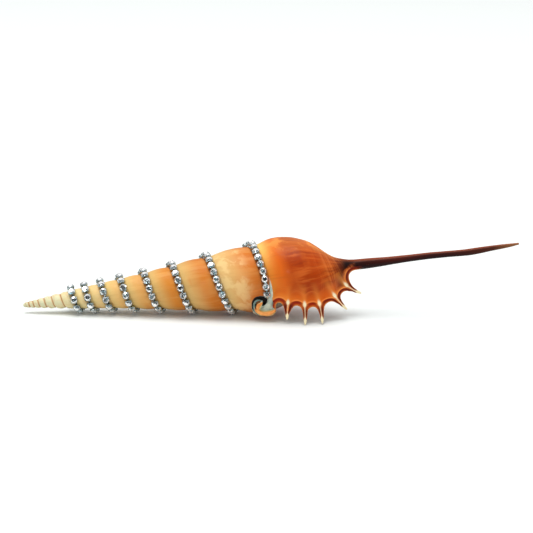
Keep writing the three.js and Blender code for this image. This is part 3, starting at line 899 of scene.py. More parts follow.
def lip_and_pocket(parts, first_column, last_column):
    """The last stretch of the whorl, the lip with its spines, its inner face and the room behind the
    aperture, as rows of points that all run from the suture to the rostrum; then both ends are zipped
    to the coil. Gives the free edge."""
    contour, shoulder, kind = lip_contour()
    count = len(contour)
    share = np.linspace(0, 1, count)
    dense = contour_rows(kind)
    n = JOIN_TURNS[:, None]
    x = body_x(n, dense)
    across = outline_place(n, x) / (WHORL_RATIO - 1)
    body = at(x, n, whorl_radius(n, x))
    base_x = x[-1]
    sheet, progress = lip_sheet(pair(base_x, -body[-1][:, 2]), shoulder, contour)
    flat = sheet.reshape(-1, 2)
    border = nearest_distance(flat, contour).reshape(sheet.shape[:2])
    border[-1] = 0
    edge = nearest_distance(flat, contour[UPPER_POINTS:]).reshape(border.shape)
    cream, tip, ridge = spine_marks(sheet)
    ends = smoothstep(0, 0.035, share) * smoothstep(0, 0.05, 1 - share)
    outer, inner = lip_faces(sheet, progress, border, ridge, ends)
    # near the whorl the wall is measured towards the axis, and further out straight back
    radial = np.stack([np.zeros(count), body[-1][:, 1], body[-1][:, 2] - axis_lift(base_x)], 1)
    radial /= np.linalg.norm(radial, axis=1, keepdims=True)
    wall = LIP_WALL * ends
    inner = lerp(outer - radial * wall[:, None], inner, smoothstep(0, 0.5, progress)[:, None, None])
    room = pocket(base_x, wall, ends)
    sheet_uv = pair(LEAVE_TURN + LIP_TURNS_IN_UV * progress[:, None], across[-1])
    lip = 1e-3 + smoothstep(0.048, 0.06, share)
    start = parts.add_points(body, pair(n, across), lip=lip, after=x - suture_x(n))
    parts.add_points(outer, sheet_uv, lip=lip, cream=cream, tip=tip, edge=edge)
    parts.add_points(inner[::-1][1:], sheet_uv[::-1][1:], lip=lip, inside=1, tip=tip[::-1][1:])
    parts.add_points(room, pair(LEAVE_TURN, across[-1]), lip=lip, inside=1)
    rows = (parts.count - start) // count
    parts.faces.append(start + grid_faces(rows, count))
    first_row = start + np.arange(count)
    whorl = body_rows()
    parts.faces.append(zipper(last_column, whorl, first_row, dense))
    below_suture = (whorl[WHORL_ROWS:] - whorl[WHORL_ROWS]) / (1 - whorl[WHORL_ROWS])
    last_row = first_row + (rows - 1) * count
    parts.faces.append(zipper(last_row, dense, first_column[WHORL_ROWS:], below_suture))
    return outer[-1, UPPER_POINTS:]


def near_path(flat, stations):
    """For each point of the picture its distance to a path, over the path's half width there, and the
    path's top and half width."""
    path = sample_curve(stations, 120)
    gap = np.linalg.norm(flat[:, None] - path[None, :, :2], axis=-1)
    nearest = gap.argmin(1)
    return gap[np.arange(len(flat)), nearest] / path[nearest, 3], path[nearest, 2], path[nearest, 3]


def ridge_top(flat, stations, height_share):
    """Height of a ridge over each point of the picture: its top less a round shoulder, r(1 - sqrt(1 -
    q^2)) with r the half width and q the distance aside in half widths, and a steep skirt further
    out. Also gives q."""
    ratio, top, half = near_path(flat, stations)
    shoulder = half * height_share * (1 - np.sqrt(1 - np.minimum(ratio, 1) ** 2))
    return top - shoulder - 2.5 * half * np.maximum(ratio - 1, 0), ratio


def smooth_max(a, b, soft):
    """The larger of two heights with the crease between them rounded: half of a + b + sqrt((a - b)^2
    + soft^2)."""
    return 0.5 * (a + b + np.sqrt((a - b) ** 2 + soft**2))


def drawn_in(ring, shares):
    """Rings round the curled canal's middle, each its outline at a share of its size."""
    centre = np.array(CANAL_CENTRE)
    return centre + (ring - centre) * shares[:, None, None]


def canal_back(ring):
    """The curled canal's plate seen from behind, swollen by a half circle's height sqrt(1 - s^2) at
    the share s."""
    shares = np.linspace(0, 1, CANAL_BACK_ROWS)
    disc = drawn_in(ring, shares)
    swell = np.sqrt(1 - shares**2)[:, None]
    x, below = disc[..., 0], disc[..., 1]
    return in_front(x, below, lip_front(x, below) - PLATE_DEPTH - PLATE_SWELL * swell)


def canal_front(ring):
    """The curled canal's relief: the rim that curls over, the wall behind the curl and the glaze that
    runs in along the suture, joined by smooth_max, with the gap and the slit cut in, down to just
    over the whorl behind. Also gives the tones, which are shares of the point's colour that come from
    the rim, the wall and the painted near-black shade of the gap and the slit."""
    shares = np.linspace(1, 0, CANAL_ROWS)
    flat = drawn_in(ring, shares).reshape(-1, 2)
    inner = shares.repeat(CANAL_COLUMNS)
    rim, rim_ratio = ridge_top(flat, CANAL_RIM, 0.95)
    wall, wall_ratio = ridge_top(flat, CANAL_WALL, 0.9)
    glaze, _ = ridge_top(flat, CALLUS, 0.6)
    in_gap = smoothstep(1.25, 0.5, near_path(flat, CANAL_GAP)[0])
    in_slit = smoothstep(1.2, 0.4, near_path(flat, CANAL_SLIT)[0])
    height = smooth_max(smooth_max(-1.1, glaze, 0.7), smooth_max(rim, wall, 0.25), 0.3)
    height = height - np.maximum(GAP_DEPTH * in_gap, SLIT_DEPTH * in_slit)
    height = lerp(height, -PLATE_DEPTH, smoothstep(0.93, 1, inner))
    x, below = flat.T
    face = lip_front(x, below)
    # in the gap the plate becomes a thin film just over the whorl behind, painted black as shade
    on_whorl = np.maximum(height, coil_front(x, below) + PAINTED_GAP_FILM - face)
    height = lerp(height, on_whorl, smoothstep(0, 0.3, in_gap) * smoothstep(1, 0.95, inner))
    grid = (CANAL_ROWS, CANAL_COLUMNS)
    points = in_front(x, below, face + height).reshape(*grid, 3)
    on_wall = smoothstep(1.6, 1.0, wall_ratio) * smoothstep(0.85, 1.2, rim_ratio)
    # the gap and the slit are painted near black as shade
    tones = {"rim": rim_ratio, "wall": on_wall, "dark": np.maximum(in_gap, 0.75 * in_slit)}
    return points, {name: tone.reshape(grid) for name, tone in tones.items()}


def canal_sheet(parts):
    """The curled canal at the lip's upper end: its back from the middle out, then its front from the
    rim in."""
    ring = sample_curve([*CANAL_OUTLINE, CANAL_OUTLINE[0]], CANAL_COLUMNS)
    front, tones = canal_front(ring)
    start = parts.add_points(canal_back(ring), CANAL_UV, canal=1)
    parts.add_points(front[1:], CANAL_UV, canal=1, **{name: tone[1:] for name, tone in tones.items()})
    parts.faces.append(start + grid_faces(CANAL_BACK_ROWS + CANAL_ROWS - 1, CANAL_COLUMNS))


def glaze_bead(parts):
    """The glaze's upper stretch, a flat round bead along the suture: rings whose half width follows
    the path's and closes at both ends by (1 - s^16)^0.5, with s from -1 to 1 along it."""
    path = sample_curve(CALLUS[:6], BEAD_ROWS)
    run = np.linspace(0, 1, BEAD_ROWS)
    angle = np.linspace(0, TAU, BEAD_SIDES + 1)
    half = path[:, 3] * np.sqrt(np.clip(1 - (2 * run - 1) ** 16, 0, 1))
    tangent = np.gradient(path[:, :2], axis=0)
    tangent /= np.linalg.norm(tangent, axis=1, keepdims=True)
    aside = pair(tangent[:, 1], -tangent[:, 0])
    place = path[:, None, :2] + aside[:, None] * (np.cos(angle) * half[:, None])[..., None]
    rise = path[:, None, 2] - 0.6 * half[:, None] * (1 - np.sin(angle))
    face = lip_front(path[:, 0], path[:, 1])[:, None]
    rim = lerp(9, 1.2, smoothstep(0.7, 0.95, np.cos(angle)))
    bead = in_front(place[..., 0], place[..., 1], face + rise)
    parts.add_sheet(bead, CANAL_UV, canal=smoothstep(0.05, 0.45, run)[:, None], rim=rim)


def edge_distances(points, line, seen, lip):
    """Distance of each point of the lip and the last whorl to the free edge: as seen from the front
    close to it, in space further away, and a large value elsewhere."""
    out = np.full(len(points), FAR_AWAY)
    near = np.where((lip > 0) & (points[:, 0] > 96))[0]
    out[near] = nearest_distance(points[near], line)
    return lerp(out, np.minimum(out, seen), smoothstep(8, 4, seen))


def build_shell():
    """The whole shell as one mesh. The hem value is the distance to the free edge over the hem's
    width, which is narrower on the last arches and at the spines' tips."""
    parts = Parts()
    spire_sheet(parts)
    apex_cap(parts)
    first_column, last_column = body_sheet(parts)
    rostrum_sheet(parts)
    free_edge = lip_and_pocket(parts, first_column, last_column)
    canal_sheet(parts)
    glaze_bead(parts)
    points = np.concatenate(parts.points)
    values = {name: np.concatenate(value) for name, value in parts.values.items()}
    values["edge"] = edge_distances(points, free_edge, values["edge"], values["lip"])
    values["along"] = points[:, 0]
    on_last_arches, off_tips = smoothstep(124, 134, points[:, 0]), smoothstep(3.5, 7.5, values["tip"])
    values["hem"] = values["edge"] / (HEM_WIDTH * lerp(1, 0.68, on_last_arches) * lerp(0.45, 1, off_tips))
    obj = make_mesh("tibia_shell", on_table(points), parts.faces, np.concatenate(parts.uvs), values)
    merge_close(obj, 0.002 * MM)
    return obj


def chain_seat(n):
    """Middle, radius and slope of the chain's seat across the suture at turn n, clear of both whorls.
    Round the back the chain leans towards the apex, more on each later whorl, and near the top it
    stands off a little."""
    around = np.mod(n, 1)
    lean = CHAIN_LEAN * LEAN_GROWTH**n * smoothstep(0.4, 0.56, around) * smoothstep(1, 0.93, around)
    slack = CHAIN_SLACK * np.maximum(0, np.cos(TAU * (n + 0.05))) ** 2
    middle = suture_x(n) + CHAIN_ASIDE - lean

    def surface(x):
        return np.where(x < suture_x(n), whorl_radius(n - 1, x), whorl_radius(n, x))

    left = surface(middle - 0.6 * CUP_WIDTH)
    right = surface(middle + 0.6 * CUP_WIDTH)
    slope = np.clip(0.6 * (right - left) / (1.2 * CUP_WIDTH), -0.1, 0.35)
    aside = CUP_WIDTH * (np.linspace(0, 1, 9)[:, None] - 0.5)
    clear = surface(middle + aside) - slope * aside
    return middle, clear.max(0) + CHAIN_GAP + slack, slope


def cup_seats():
    """Place, along, across and up directions of every cup, evenly spaced along the chain."""
    fine = np.linspace(CHAIN_START, CHAIN_END, 1601)
    x, radius, _ = chain_seat(fine)
    line = at(x, fine, radius)
    run = np.concatenate([[0], np.cumsum(np.linalg.norm(np.diff(line, axis=0), axis=1))])
    cups = int(round((run[-1] - CUP_LENGTH) / CUP_PITCH)) + 1
    middles = 0.5 * CUP_LENGTH + np.arange(cups) * (run[-1] - CUP_LENGTH) / (cups - 1)
    n = np.interp(middles, run, fine)
    x, radius, slope = chain_seat(n)
    place = at(x, n, radius)
    outwards = at(x, n, radius + 1) - place
    axis = np.array([1.0, 0.0, 0.0])
    across = axis + outwards * slope[:, None]
    across /= np.linalg.norm(across, axis=1, keepdims=True)
    up = outwards - axis * slope[:, None]
    up /= np.linalg.norm(up, axis=1, keepdims=True)
    along = np.cross(up, across)
    return place, along, across, up


def set_on_cups(template, seats):
    """A template of (along, across, up) points on every cup: its place plus each number times its
    direction."""
    place, along, across, up = (direction[:, None] for direction in seats)
    u, v, w = np.asarray(template, float).T[..., None]
    return place + along * u + across * v + up * w


def repeated(faces, size, copies):
    """A template's faces for every copy of it, with size more on the point numbers for each copy."""
    return (np.asarray(faces)[None] + size * np.arange(copies)[:, None, None]).reshape(-1, len(faces[0]))


def around(sides, start=0.0):
    """Angles evenly round a circle."""
    return start + np.arange(sides) * TAU / sides


def ring(angle, size):
    """Points round the up direction at some angles, with a size of (radius, height)."""
    radius, height = size
    return np.stack([radius * np.cos(angle), radius * np.sin(angle), np.full(len(angle), float(height))], 1)


def turned_profile(profile, sides):
    """A closed turned form: profile points (radius, height) swept round, with single points on the axis."""
    angle = around(sides, math.pi / sides)
    rings = [ring(angle, size) for size in profile[1:-1]]
    points = np.concatenate([[[0, 0, profile[0][1]]], *rings, [[0, 0, profile[-1][1]]]])
    k = np.arange(sides)
    k2 = (k + 1) % sides
    starts = 1 + sides * np.arange(len(rings))
    bands = [np.stack([a + k, a + k2, a + sides + k2, a + sides + k], 1) for a in starts[:-1]]
    last = starts[-1]
    end = len(points) - 1
    fans = [np.stack([0 * k, 1 + k2, 1 + k], 1), np.stack([0 * k + end, last + k, last + k2], 1)]
    return points, np.concatenate(bands), np.concatenate(fans)


def cup_prongs():
    """Four prongs bent over the stone's edge, each a tapering bar: its edges in the plane through the
    cup's middle, moved aside both ways by their half width."""
    angle = around(4, math.pi / 4)
    r, h, w = np.array(PRONG_EDGES).T
    flat = pair(np.cos(angle), np.sin(angle))[:, None] * r[:, None]
    aside = pair(-np.sin(angle), np.cos(angle))[:, None] * w[:, None]
    height = np.broadcast_to(h[:, None], (4, 4, 1))
    sides = [np.concatenate([flat + sign * aside, height], -1) for sign in (-1, 1)]
    box = [(0, 1, 5, 4), (2, 6, 7, 3), (0, 4, 6, 2), (1, 3, 7, 5), (0, 2, 3, 1), (4, 5, 7, 6)]
    return np.stack(sides, 1).reshape(-1, 3), repeated(box, 8, 4)


def chain_links(seats):
    """A short bar from each cup's far side to the next cup's near side."""
    place, along, across, up = seats
    section = [(-1, LINK_BOTTOM), (1, LINK_BOTTOM), (1, LINK_TOP), (-1, LINK_TOP)]
    corners = [across * (LINK_HALF_WIDTH * side) + up * height for side, height in section]
    far = np.stack([place + along * LINK_REACH + corner for corner in corners], 1)
    near = np.stack([place - along * LINK_REACH + corner for corner in corners], 1)
    faces = [(0, 1, 5, 4), (1, 2, 6, 5), (2, 3, 7, 6), (3, 0, 4, 7), (3, 2, 1, 0), (4, 5, 6, 7)]
    return np.concatenate([far[:-1], near[1:]], 1), faces


def build_chain(seats):
    """Cups with prongs and the short bars that link them."""
    cups = len(seats[0])
    cup, bands, fans = turned_profile(CUP_PROFILE, CUP_SIDES)
    prongs, prong_faces = cup_prongs()
    links, link_faces = chain_links(seats)
    blocks = [set_on_cups(cup, seats), set_on_cups(prongs, seats), links]
    points = np.concatenate([block.reshape(-1, 3) for block in blocks])
    first_prong = cups * len(cup)
    first_link = first_prong + cups * len(prongs)
    faces = [
        repeated(bands, len(cup), cups),
        repeated(fans, len(cup), cups),
        first_prong + repeated(prong_faces, len(prongs), cups),
        first_link + repeated(link_faces, 8, cups - 1),
    ]
    return make_mesh("chain_cups", on_table(points), faces, smooth=False)


def stone_template():
    """A round brilliant: an eight-sided table, a ring of crown corners, a sixteen-sided girdle and a
    flat back."""
    eight, sixteen = around(8), around(16)
    rings = [ring(eight, STONE_TABLE), ring(eight + TAU / 16, STONE_CROWN)]
    rings += [ring(sixteen, STONE_GIRDLE), ring(sixteen, STONE_BACK)]
    k = np.arange(8)
    table = k[None]
    stars = np.stack([k, 8 + k, (k + 1) % 8], 1)
    kites = np.stack([k, 8 + (k - 1) % 8, 16 + 2 * k, 8 + k], 1)
    upper_left = np.stack([8 + k, 16 + 2 * k, 16 + 2 * k + 1], 1)
    upper_right = np.stack([8 + k, 16 + 2 * k + 1, 16 + (2 * k + 2) % 16], 1)
    j = np.arange(16)
    girdle = np.stack([16 + j, 32 + j, 32 + (j + 1) % 16, 16 + (j + 1) % 16], 1)
    back = 47 - j[None]
    return np.concatenate(rings), [table, stars, kites, upper_left, upper_right, girdle, back]


def build_stones(seats):
    """The same stone on every cup."""
    template, blocks = stone_template()
    points = set_on_cups(template, seats).reshape(-1, 3)
    faces = [repeated(block, len(template), len(seats[0])) for block in blocks]
    return make_mesh("stones", on_table(points), faces, smooth=False)


def build_foils(seats):
    """The silvered back under each stone: a faceted cone whose facets each have a painted reflection tone,
    dark or bright, drawn at random.
    """
    eight = around(8)
    rim, waist = ring(eight, FOIL_RIM), ring(eight + TAU / 16, FOIL_WAIST)
    template = np.concatenate([rim, waist, [[0, 0, FOIL_POINT]]])
    k = np.arange(8)
    k2 = (k + 1) % 8
    upper = [np.stack([k, k2, 8 + k], 1), np.stack([8 + k, k2, 8 + k2], 1)]
    faces = np.concatenate([*upper, np.stack([8 + k, 8 + k2, 0 * k + 16], 1)])
    points = set_on_cups(template, seats).reshape(-1, 3)
    faces = repeated(faces, len(template), len(seats[0]))
    obj = make_mesh("stone_backs", on_table(points), [faces], smooth=False)
    # each facet's painted reflection tone, drawn at random
    tones = np.random.default_rng(7).random(len(faces))
    attribute = obj.data.attributes.new("tone", "FLOAT", "FACE")
    attribute.data.foreach_set("value", tones.astype(np.float32))
    return obj


def srgb(red, green, blue):
    """A display colour, 0 to 255 a channel, as the linear colour that shaders use."""
    values = np.array([red, green, blue]) / 255
    linear = np.where(values <= 0.04045, values / 12.92, ((values + 0.055) / 1.055) ** 2.4)
    return (*linear.tolist(), 1.0)


# Tones of the shell: along the spire's age, down the body whorl, out along the rostrum and in from the
# free edge
SPIRE_TONES = [
    (0.0, srgb(202, 204, 170)),
    (0.35, srgb(212, 211, 174)),
    (0.5, srgb(226, 208, 156)),
    (0.64, srgb(221, 178, 110)),
    (0.78, srgb(204, 126, 44)),
    (0.88, srgb(192, 104, 30)),
    (0.93, srgb(202, 112, 32)),
    (1.0, srgb(212, 116, 38)),
]
BODY_TONES = [
    (0.0, srgb(212, 126, 46)),
    (0.07, srgb(216, 124, 40)),
    (0.13, srgb(212, 106, 28)),
    (0.2, srgb(204, 92, 18)),
    (0.3, srgb(166, 60, 3)),
    (0.42, srgb(156, 52, 1)),
    (0.56, srgb(170, 60, 3)),
    (0.68, srgb(168, 70, 10)),
    (0.8, srgb(140, 50, 12)),
    (0.92, srgb(60, 14, 8)),
    (1.0, srgb(28, 5, 5)),
]
ROSTRUM_TONES = [
    (0.0, srgb(20, 3, 3)),
    (0.14, srgb(46, 8, 3)),
    (0.32, srgb(68, 18, 9)),
    (0.5, srgb(48, 11, 6)),
    (0.68, srgb(56, 16, 8)),
    (0.85, srgb(70, 30, 16)),
    (1.0, srgb(140, 92, 56)),
]
HEM_TONES = [
    (0.0, srgb(206, 146, 90)),
    (0.08, srgb(196, 112, 50)),
    (0.15, srgb(180, 76, 16)),
    (0.24, srgb(156, 44, 5)),
    (0.38, srgb(130, 28, 2)),
    (0.5, srgb(144, 38, 3)),
]
MAROON = srgb(92, 18, 4)
RAY_CREAM = srgb(246, 232, 192)
TIP_CREAM = srgb(238, 224, 182)
# Painted reflections on the stones' foil backs: facets from dark teal to white, for dark reflections and
# glints
FOIL_GLINT_TONES = [
    (0.0, srgb(2, 14, 20)),
    (0.42, srgb(12, 42, 52)),
    (0.48, srgb(40, 98, 112)),
    (0.66, srgb(96, 160, 172)),
    (0.74, srgb(236, 246, 248)),
    (1.0, srgb(255, 255, 255)),
]
RELIEF_DEPTH = 0.12 * MM
RELIEF_STRENGTH = 0.55


class Maths:
    """A socket that adds its Math nodes when Python operators are used on it."""

    def __init__(self, shop, socket):
        self.shop, self.socket = shop, socket

    def math(self, operation, *terms, clamp=False):
        """A Math node on its terms, each a number or a socket."""
        settings = {"operation": operation, "use_clamp": clamp}
        return self.shop.node("ShaderNodeMath", settings, dict(enumerate(terms)))

    def __add__(self, other):
        return self.math("ADD", self, other)

    __radd__ = __add__

    def __sub__(self, other):
        return self.math("SUBTRACT", self, other)

    def __rsub__(self, other):
        return self.math("SUBTRACT", other, self)

    def __mul__(self, other):
        return self.math("MULTIPLY", self, other)

    __rmul__ = __mul__

    def __truediv__(self, other):
        return self.math("DIVIDE", self, other)

    def __rtruediv__(self, other):
        return self.math("DIVIDE", other, self)

    def clamp(self):
        """The value held between 0 and 1."""
        return self.math("ADD", self, 0.0, clamp=True)

    def sine(self):
        """The sine of an angle in radians."""
        return self.math("SINE", self)

    def maximum(self, other):
        """The larger of two values."""
        return self.math("MAXIMUM", self, other)

    def step(self, low, high):
        """0 below low, 1 above high and a smooth S between; the other way round when low is the larger."""
        ends = (low, high, 0.0, 1.0) if low < high else (high, low, 1.0, 0.0)
        inputs = {"Value": self, **dict(zip(("From Min", "From Max", "To Min", "To Max"), ends))}
        return self.shop.node("ShaderNodeMapRange", {"interpolation_type": "SMOOTHSTEP"}, inputs, "Result")


def lay_stops(ramp, stops):
    """Gives a colour ramp its (position, colour) stops."""
    while len(ramp.elements) < len(stops):
        ramp.elements.new(0.5)
    for element, (position, colour) in zip(ramp.elements, stops):
        element.position = position
        element.color = colour


class NodeShop:
    """Adds nodes to one node tree, a material's or the sky's."""

    def __init__(self, tree):
        self.tree = tree

    def feed(self, socket, value):
        """Links an output to a socket, or sets the socket's own value."""
        if isinstance(value, Maths):
            self.tree.links.new(value.socket, socket)
        else:
            socket.default_value = value

    def node(self, kind, settings=None, inputs=None, output=0):
        """Any node: its settings first, a ramp's stops among them, then the values or links of its
        sockets. Gives one of its outputs."""
        made = self.tree.nodes.new(kind)
        for name, value in (settings or {}).items():
            if name == "stops":
                lay_stops(made.color_ramp, value)
            else:
                setattr(made, name, value)
        for name, value in (inputs or {}).items():
            self.feed(made.inputs[name], value)
        return Maths(self, made.outputs[output])

    def ramp(self, factor, stops):
        """A colour ramp read at a factor."""
        return self.node("ShaderNodeValToRGB", {"stops": stops}, {0: factor})

    def mix(self, factor, a, b):
        """A mix of two colours: a where the factor is 0, b where it is 1."""
        return self.node("ShaderNodeMix", {"data_type": "RGBA"}, {0: factor, 6: a, 7: b}, 2)

    def value(self, name):
        """A number stored on the mesh's points or faces."""
        return self.node("ShaderNodeAttribute", {"attribute_name": name}, None, "Fac")

    def noise(self, place, scale, detail, roughness=0.5):
        """Soft noise at a place, between 0 and 1."""
        inputs = {"Vector": place, "Scale": scale, "Detail": detail, "Roughness": roughness}
        return self.node("ShaderNodeTexNoise", None, inputs)


class Finish(NodeShop):
    """One material under construction."""

    def __init__(self, name, **constants):
        self.material = bpy.data.materials.new(name)
        self.material.use_nodes = True
        super().__init__(self.material.node_tree)
        self.shader = self.tree.nodes["Principled BSDF"]
        for socket, value in constants.items():
            self.shader.inputs[socket.replace("_", " ")].default_value = value

    def finish(self, colour, roughness=None, relief=None):
        """Feeds the colour and, where they are given, the roughness and the height of a fine relief."""
        self.feed(self.shader.inputs["Base Color"], colour)
        if roughness is not None:
            self.feed(self.shader.inputs["Roughness"], roughness)
        if relief is not None:
            bump = {"Height": relief, "Distance": RELIEF_DEPTH, "Strength": RELIEF_STRENGTH}
            self.feed(self.shader.inputs["Normal"], self.node("ShaderNodeBump", None, bump))
        return self.material


class ShellFinish(Finish):
    """Growth lines and spiral lines on a ground that warms from the cream apex to the red-brown body.
    The turn and the place across a whorl come from the growth UV, and all distances from values on
    the mesh, in mm."""

    def __init__(self):
        gloss = {"Coat_Weight": 0.04, "Coat_Roughness": 0.12, "IOR": 1.2, "Specular_IOR_Level": 0.4}
        super().__init__("natural_shell", **gloss)
        growth = self.node("ShaderNodeUVMap", {"uv_map": "growth"})
        self.turn = self.node("ShaderNodeSeparateXYZ", None, {0: growth}, "X")
        self.across = self.node("ShaderNodeSeparateXYZ", None, {0: growth}, "Y")
        self.along, self.edge, self.hem = self.value("along"), self.value("edge"), self.value("hem")
        self.tip, self.before, self.after = self.value("tip"), self.value("before"), self.value("after")
        # growth lines run across the whorls, threads follow the coil, and clouds break both up
        self.clouds = self.grain(6.0, 2.5, 0.0, 3.0)
        self.lines = self.grain(90.0, 1.2, 3.0, 4.0, 0.6)
        self.wide_lines = self.grain(22.0, 0.8, 7.0, 2.0)
        self.waves = self.grain(16.0, 3.0, 17.0, 3.0, 0.6, self.clouds * 1.6)
        self.streaks = self.grain(40.0, 0.9, 23.0, 3.0, 0.55, self.clouds * 1.4)
        threads = self.grain(1.5, 34.0, 11.0, 2.0)
        self.cords = threads.step(0.48, 0.6) * self.across.step(1.0, 1.35) * self.across.step(2.1, 1.7)

    def grain(self, per_turn, per_whorl, layer, detail, roughness=0.5, sway=0.0):
        """Noise on the growth UV, so many lumps to a turn and to a whorl's width. The layer keeps one
        grain apart from another, and the sway bends it along the turn."""
        inputs = {0: self.turn * per_turn + sway, 1: self.across * per_whorl, 2: layer}
        return self.noise(self.node("ShaderNodeCombineXYZ", None, inputs), 1.0, detail, roughness)

    def spire(self):
        """The spire, from the apex to the last whorl, pale just past the chain and in waves on its
        last turn."""
        turn, across = self.turn, self.across
        ground = self.ramp((turn + TURNS) / 15.0, SPIRE_TONES)
        past_chain = across.step(0.75, 0.1) * turn.step(-7.6, -7.0) * turn.step(-0.2, -0.7)
        ground = self.mix(past_chain * 0.6, ground, srgb(214, 198, 130))
        ground = self.mix(self.wide_lines.step(0.45, 0.62) * 0.18, ground, srgb(236, 188, 116))
        ground = self.mix(self.lines.step(0.5, 0.72) * 0.12, ground, srgb(160, 98, 46))
        ground = self.mix(self.clouds.step(0.5, 0.75) * 0.35, ground, srgb(204, 116, 48))
        pale = turn.step(-1.15, -0.95) * turn.step(-0.1, -0.25) * across.step(0.85, 0.5)
        return self.mix(pale * (0.2 + self.waves.step(0.45, 0.6) * 0.5), ground, srgb(234, 200, 138))

    def body(self):
        """The body whorl, which darkens from its shoulder to the rostrum, with a pale collar under the chain
        and painted light on its top, lighter and more orange."""
        turn, across = self.turn, self.across
        ground = self.ramp(across * 0.5, BODY_TONES)
        ground = self.mix(self.cords * 0.45, ground, srgb(214, 116, 52))
        ground = self.mix(self.lines.step(0.48, 0.75) * 0.3, ground, srgb(112, 36, 4))
        ground = self.mix(self.clouds.step(0.5, 0.75) * 0.35, ground, srgb(214, 108, 36))
        # painted light: the top of the body whorl lighter and more orange, broken by waves of painted
        # highlight
        painted_top_light = turn.step(0.2, 0.08) * turn.step(-0.3, -0.1)
        ground = self.mix(painted_top_light * (0.25 + self.waves.step(0.5, 0.62) * 0.4), ground, srgb(238, 156, 72))
        ground = self.mix(self.lines.step(0.56, 0.8) * 0.3, ground, srgb(232, 134, 66))
        light_streaks = self.streaks.step(0.5, 0.66) * across.step(0.4, 0.8)
        ground = self.mix(light_streaks * 0.42, ground, srgb(226, 116, 46))
        dark_streaks = self.streaks.step(0.48, 0.32) * across.step(0.5, 0.8)
        ground = self.mix(dark_streaks * 0.5, ground, srgb(116, 32, 2))
        collar = across.step(0.42, 0.04) * turn.step(0.27, 0.06) * (0.4 + turn.step(-0.3, -0.05) * 0.6)
        return self.mix(collar * 0.95, ground, srgb(250, 204, 110))

    def rostrum(self):
        """The rostrum: dark at its root, paler at its tip, with painted light making it orange on top and
        painted shade making it nearly black below.
        """
        ground = self.ramp((self.along - 140.0) / 75.0, ROSTRUM_TONES)
        # painted light and shade by which way the surface faces: orange painted light on top, near-black
        # painted shade underneath
        painted_light_side = ((self.turn + 0.25) * TAU).sine()
        ground = self.mix(painted_light_side.step(0.25, 1.0) * 0.6, ground, srgb(164, 74, 32))
        below = painted_light_side.step(0.2, -0.7) * self.along.step(205.0, 180.0)
        return self.mix(below * 0.75, ground, srgb(16, 2, 4))

    def warmed(self, ground):
        """Warmer towards the lip, up to where the rostrum begins."""
        lower = self.across.step(0.1, 0.35) * self.along.step(138.5, 133.0)
        ground = self.mix(self.edge.step(8.0, 3.0) * lower * 0.8, ground, srgb(214, 92, 10))
        near_edge = self.edge.step(5.5, 2.0) * self.across.step(0.75, 0.3) * lower
        ground = self.mix(near_edge * 0.75, ground, srgb(238, 138, 46))
        last_arch = self.edge.step(3.2, 1.2) * self.along.step(129.0, 134.0) * self.along.step(142.5, 138.5)
        return self.mix(last_arch * 0.75, ground, srgb(240, 138, 62))

    def hemmed(self, ground):
        """The dark hem along the free edge, with a bright line inside it, and maroon on the flanks of
        the spines."""
        hem, tip = self.hem, self.tip
        tone = self.ramp(hem * 0.5, HEM_TONES)
        tone = self.mix(self.along.step(124.0, 133.0) * hem.step(0.15, 0.5) * 0.7, tone, MAROON)
        flank = self.mix(hem.step(0.08, 0.32), srgb(192, 110, 56), MAROON)
        tone = self.mix(tip.step(7.5, 5.5), tone, flank)
        bright = hem.step(1.6, 1.15) * tip.step(6.5, 8.5) * self.along.step(143.0, 139.0)
        ground = self.mix(bright * 0.45, ground, srgb(250, 150, 78))
        return self.mix(hem.step(1.1, 0.98) * self.along.step(148.0, 143.0), ground, tone)

    def rayed(self, ground):
        """The pale ray of each spine and its cream tip."""
        cream = self.value("cream")
        warm = self.mix(self.tip.step(8.5, 6.5), srgb(240, 146, 58), srgb(186, 108, 56))
        ray = self.mix(cream.step(0.35, 0.8), warm, RAY_CREAM)
        ground = self.mix((cream * 1.15).clamp(), ground, ray)
        return self.mix(self.tip.step(2.6, 1.4), ground, TIP_CREAM)

    def seamed(self, ground):
        """A brown line down each suture, and darker brown on both sides of the chain: glue there, and the
        chain's painted contact shadow.
        """
        turn, before, after = self.turn, self.before, self.after
        seam = before.step(0.5, 0.1).maximum(after.step(0.3, 0.0))
        ground = self.mix(seam * 0.8, ground, srgb(104, 58, 26))
        early = turn.step(-7.2, -7.8) * (before.step(0.8, 0.2) + after.step(0.5, 0.1)).clamp()
        ground = self.mix(early * 0.5, ground, srgb(206, 150, 96))
        # beside the chain: glue, and the chain's contact shadow painted in
        upper_side = turn.step(-8.4, -8.3) * before.step(1.8, 1.3)
        lower_side = turn.step(-7.4, -7.3) * after.step(2.4, 1.9) * 0.4
        glue_and_painted_shadow = (upper_side + lower_side) * (0.5 + turn.step(-5.0, -1.0) * 0.5)
        return self.mix((glue_and_painted_shadow * (0.6 + self.clouds * 0.5)).clamp(), ground, srgb(112, 60, 26))

    def glazed(self, ground):
        """The pale glaze on the whorl inside the mouth, painted grey there as shade, and the pale one inside
        the lip.
        """
        # inside the mouth the pale glaze is painted grey and grey-green as shade
        mouth_in_shade = self.turn.step(-0.43, -0.56) * self.along.step(105.5, 110.0) * self.along.step(140.0, 132.0)
        glaze_painted_grey = self.mix(self.clouds.step(0.4, 0.6), srgb(172, 168, 152), srgb(112, 124, 118))
        ground = self.mix(mouth_in_shade, ground, glaze_painted_grey)
        glaze = self.mix(self.edge.step(6.0, 1.2), srgb(238, 226, 208), srgb(196, 130, 84))
        glaze = self.mix(self.tip.step(3.4, 1.6), glaze, srgb(232, 212, 168))
        return self.mix(self.value("inside") * self.along.step(146.0, 142.0), ground, glaze)

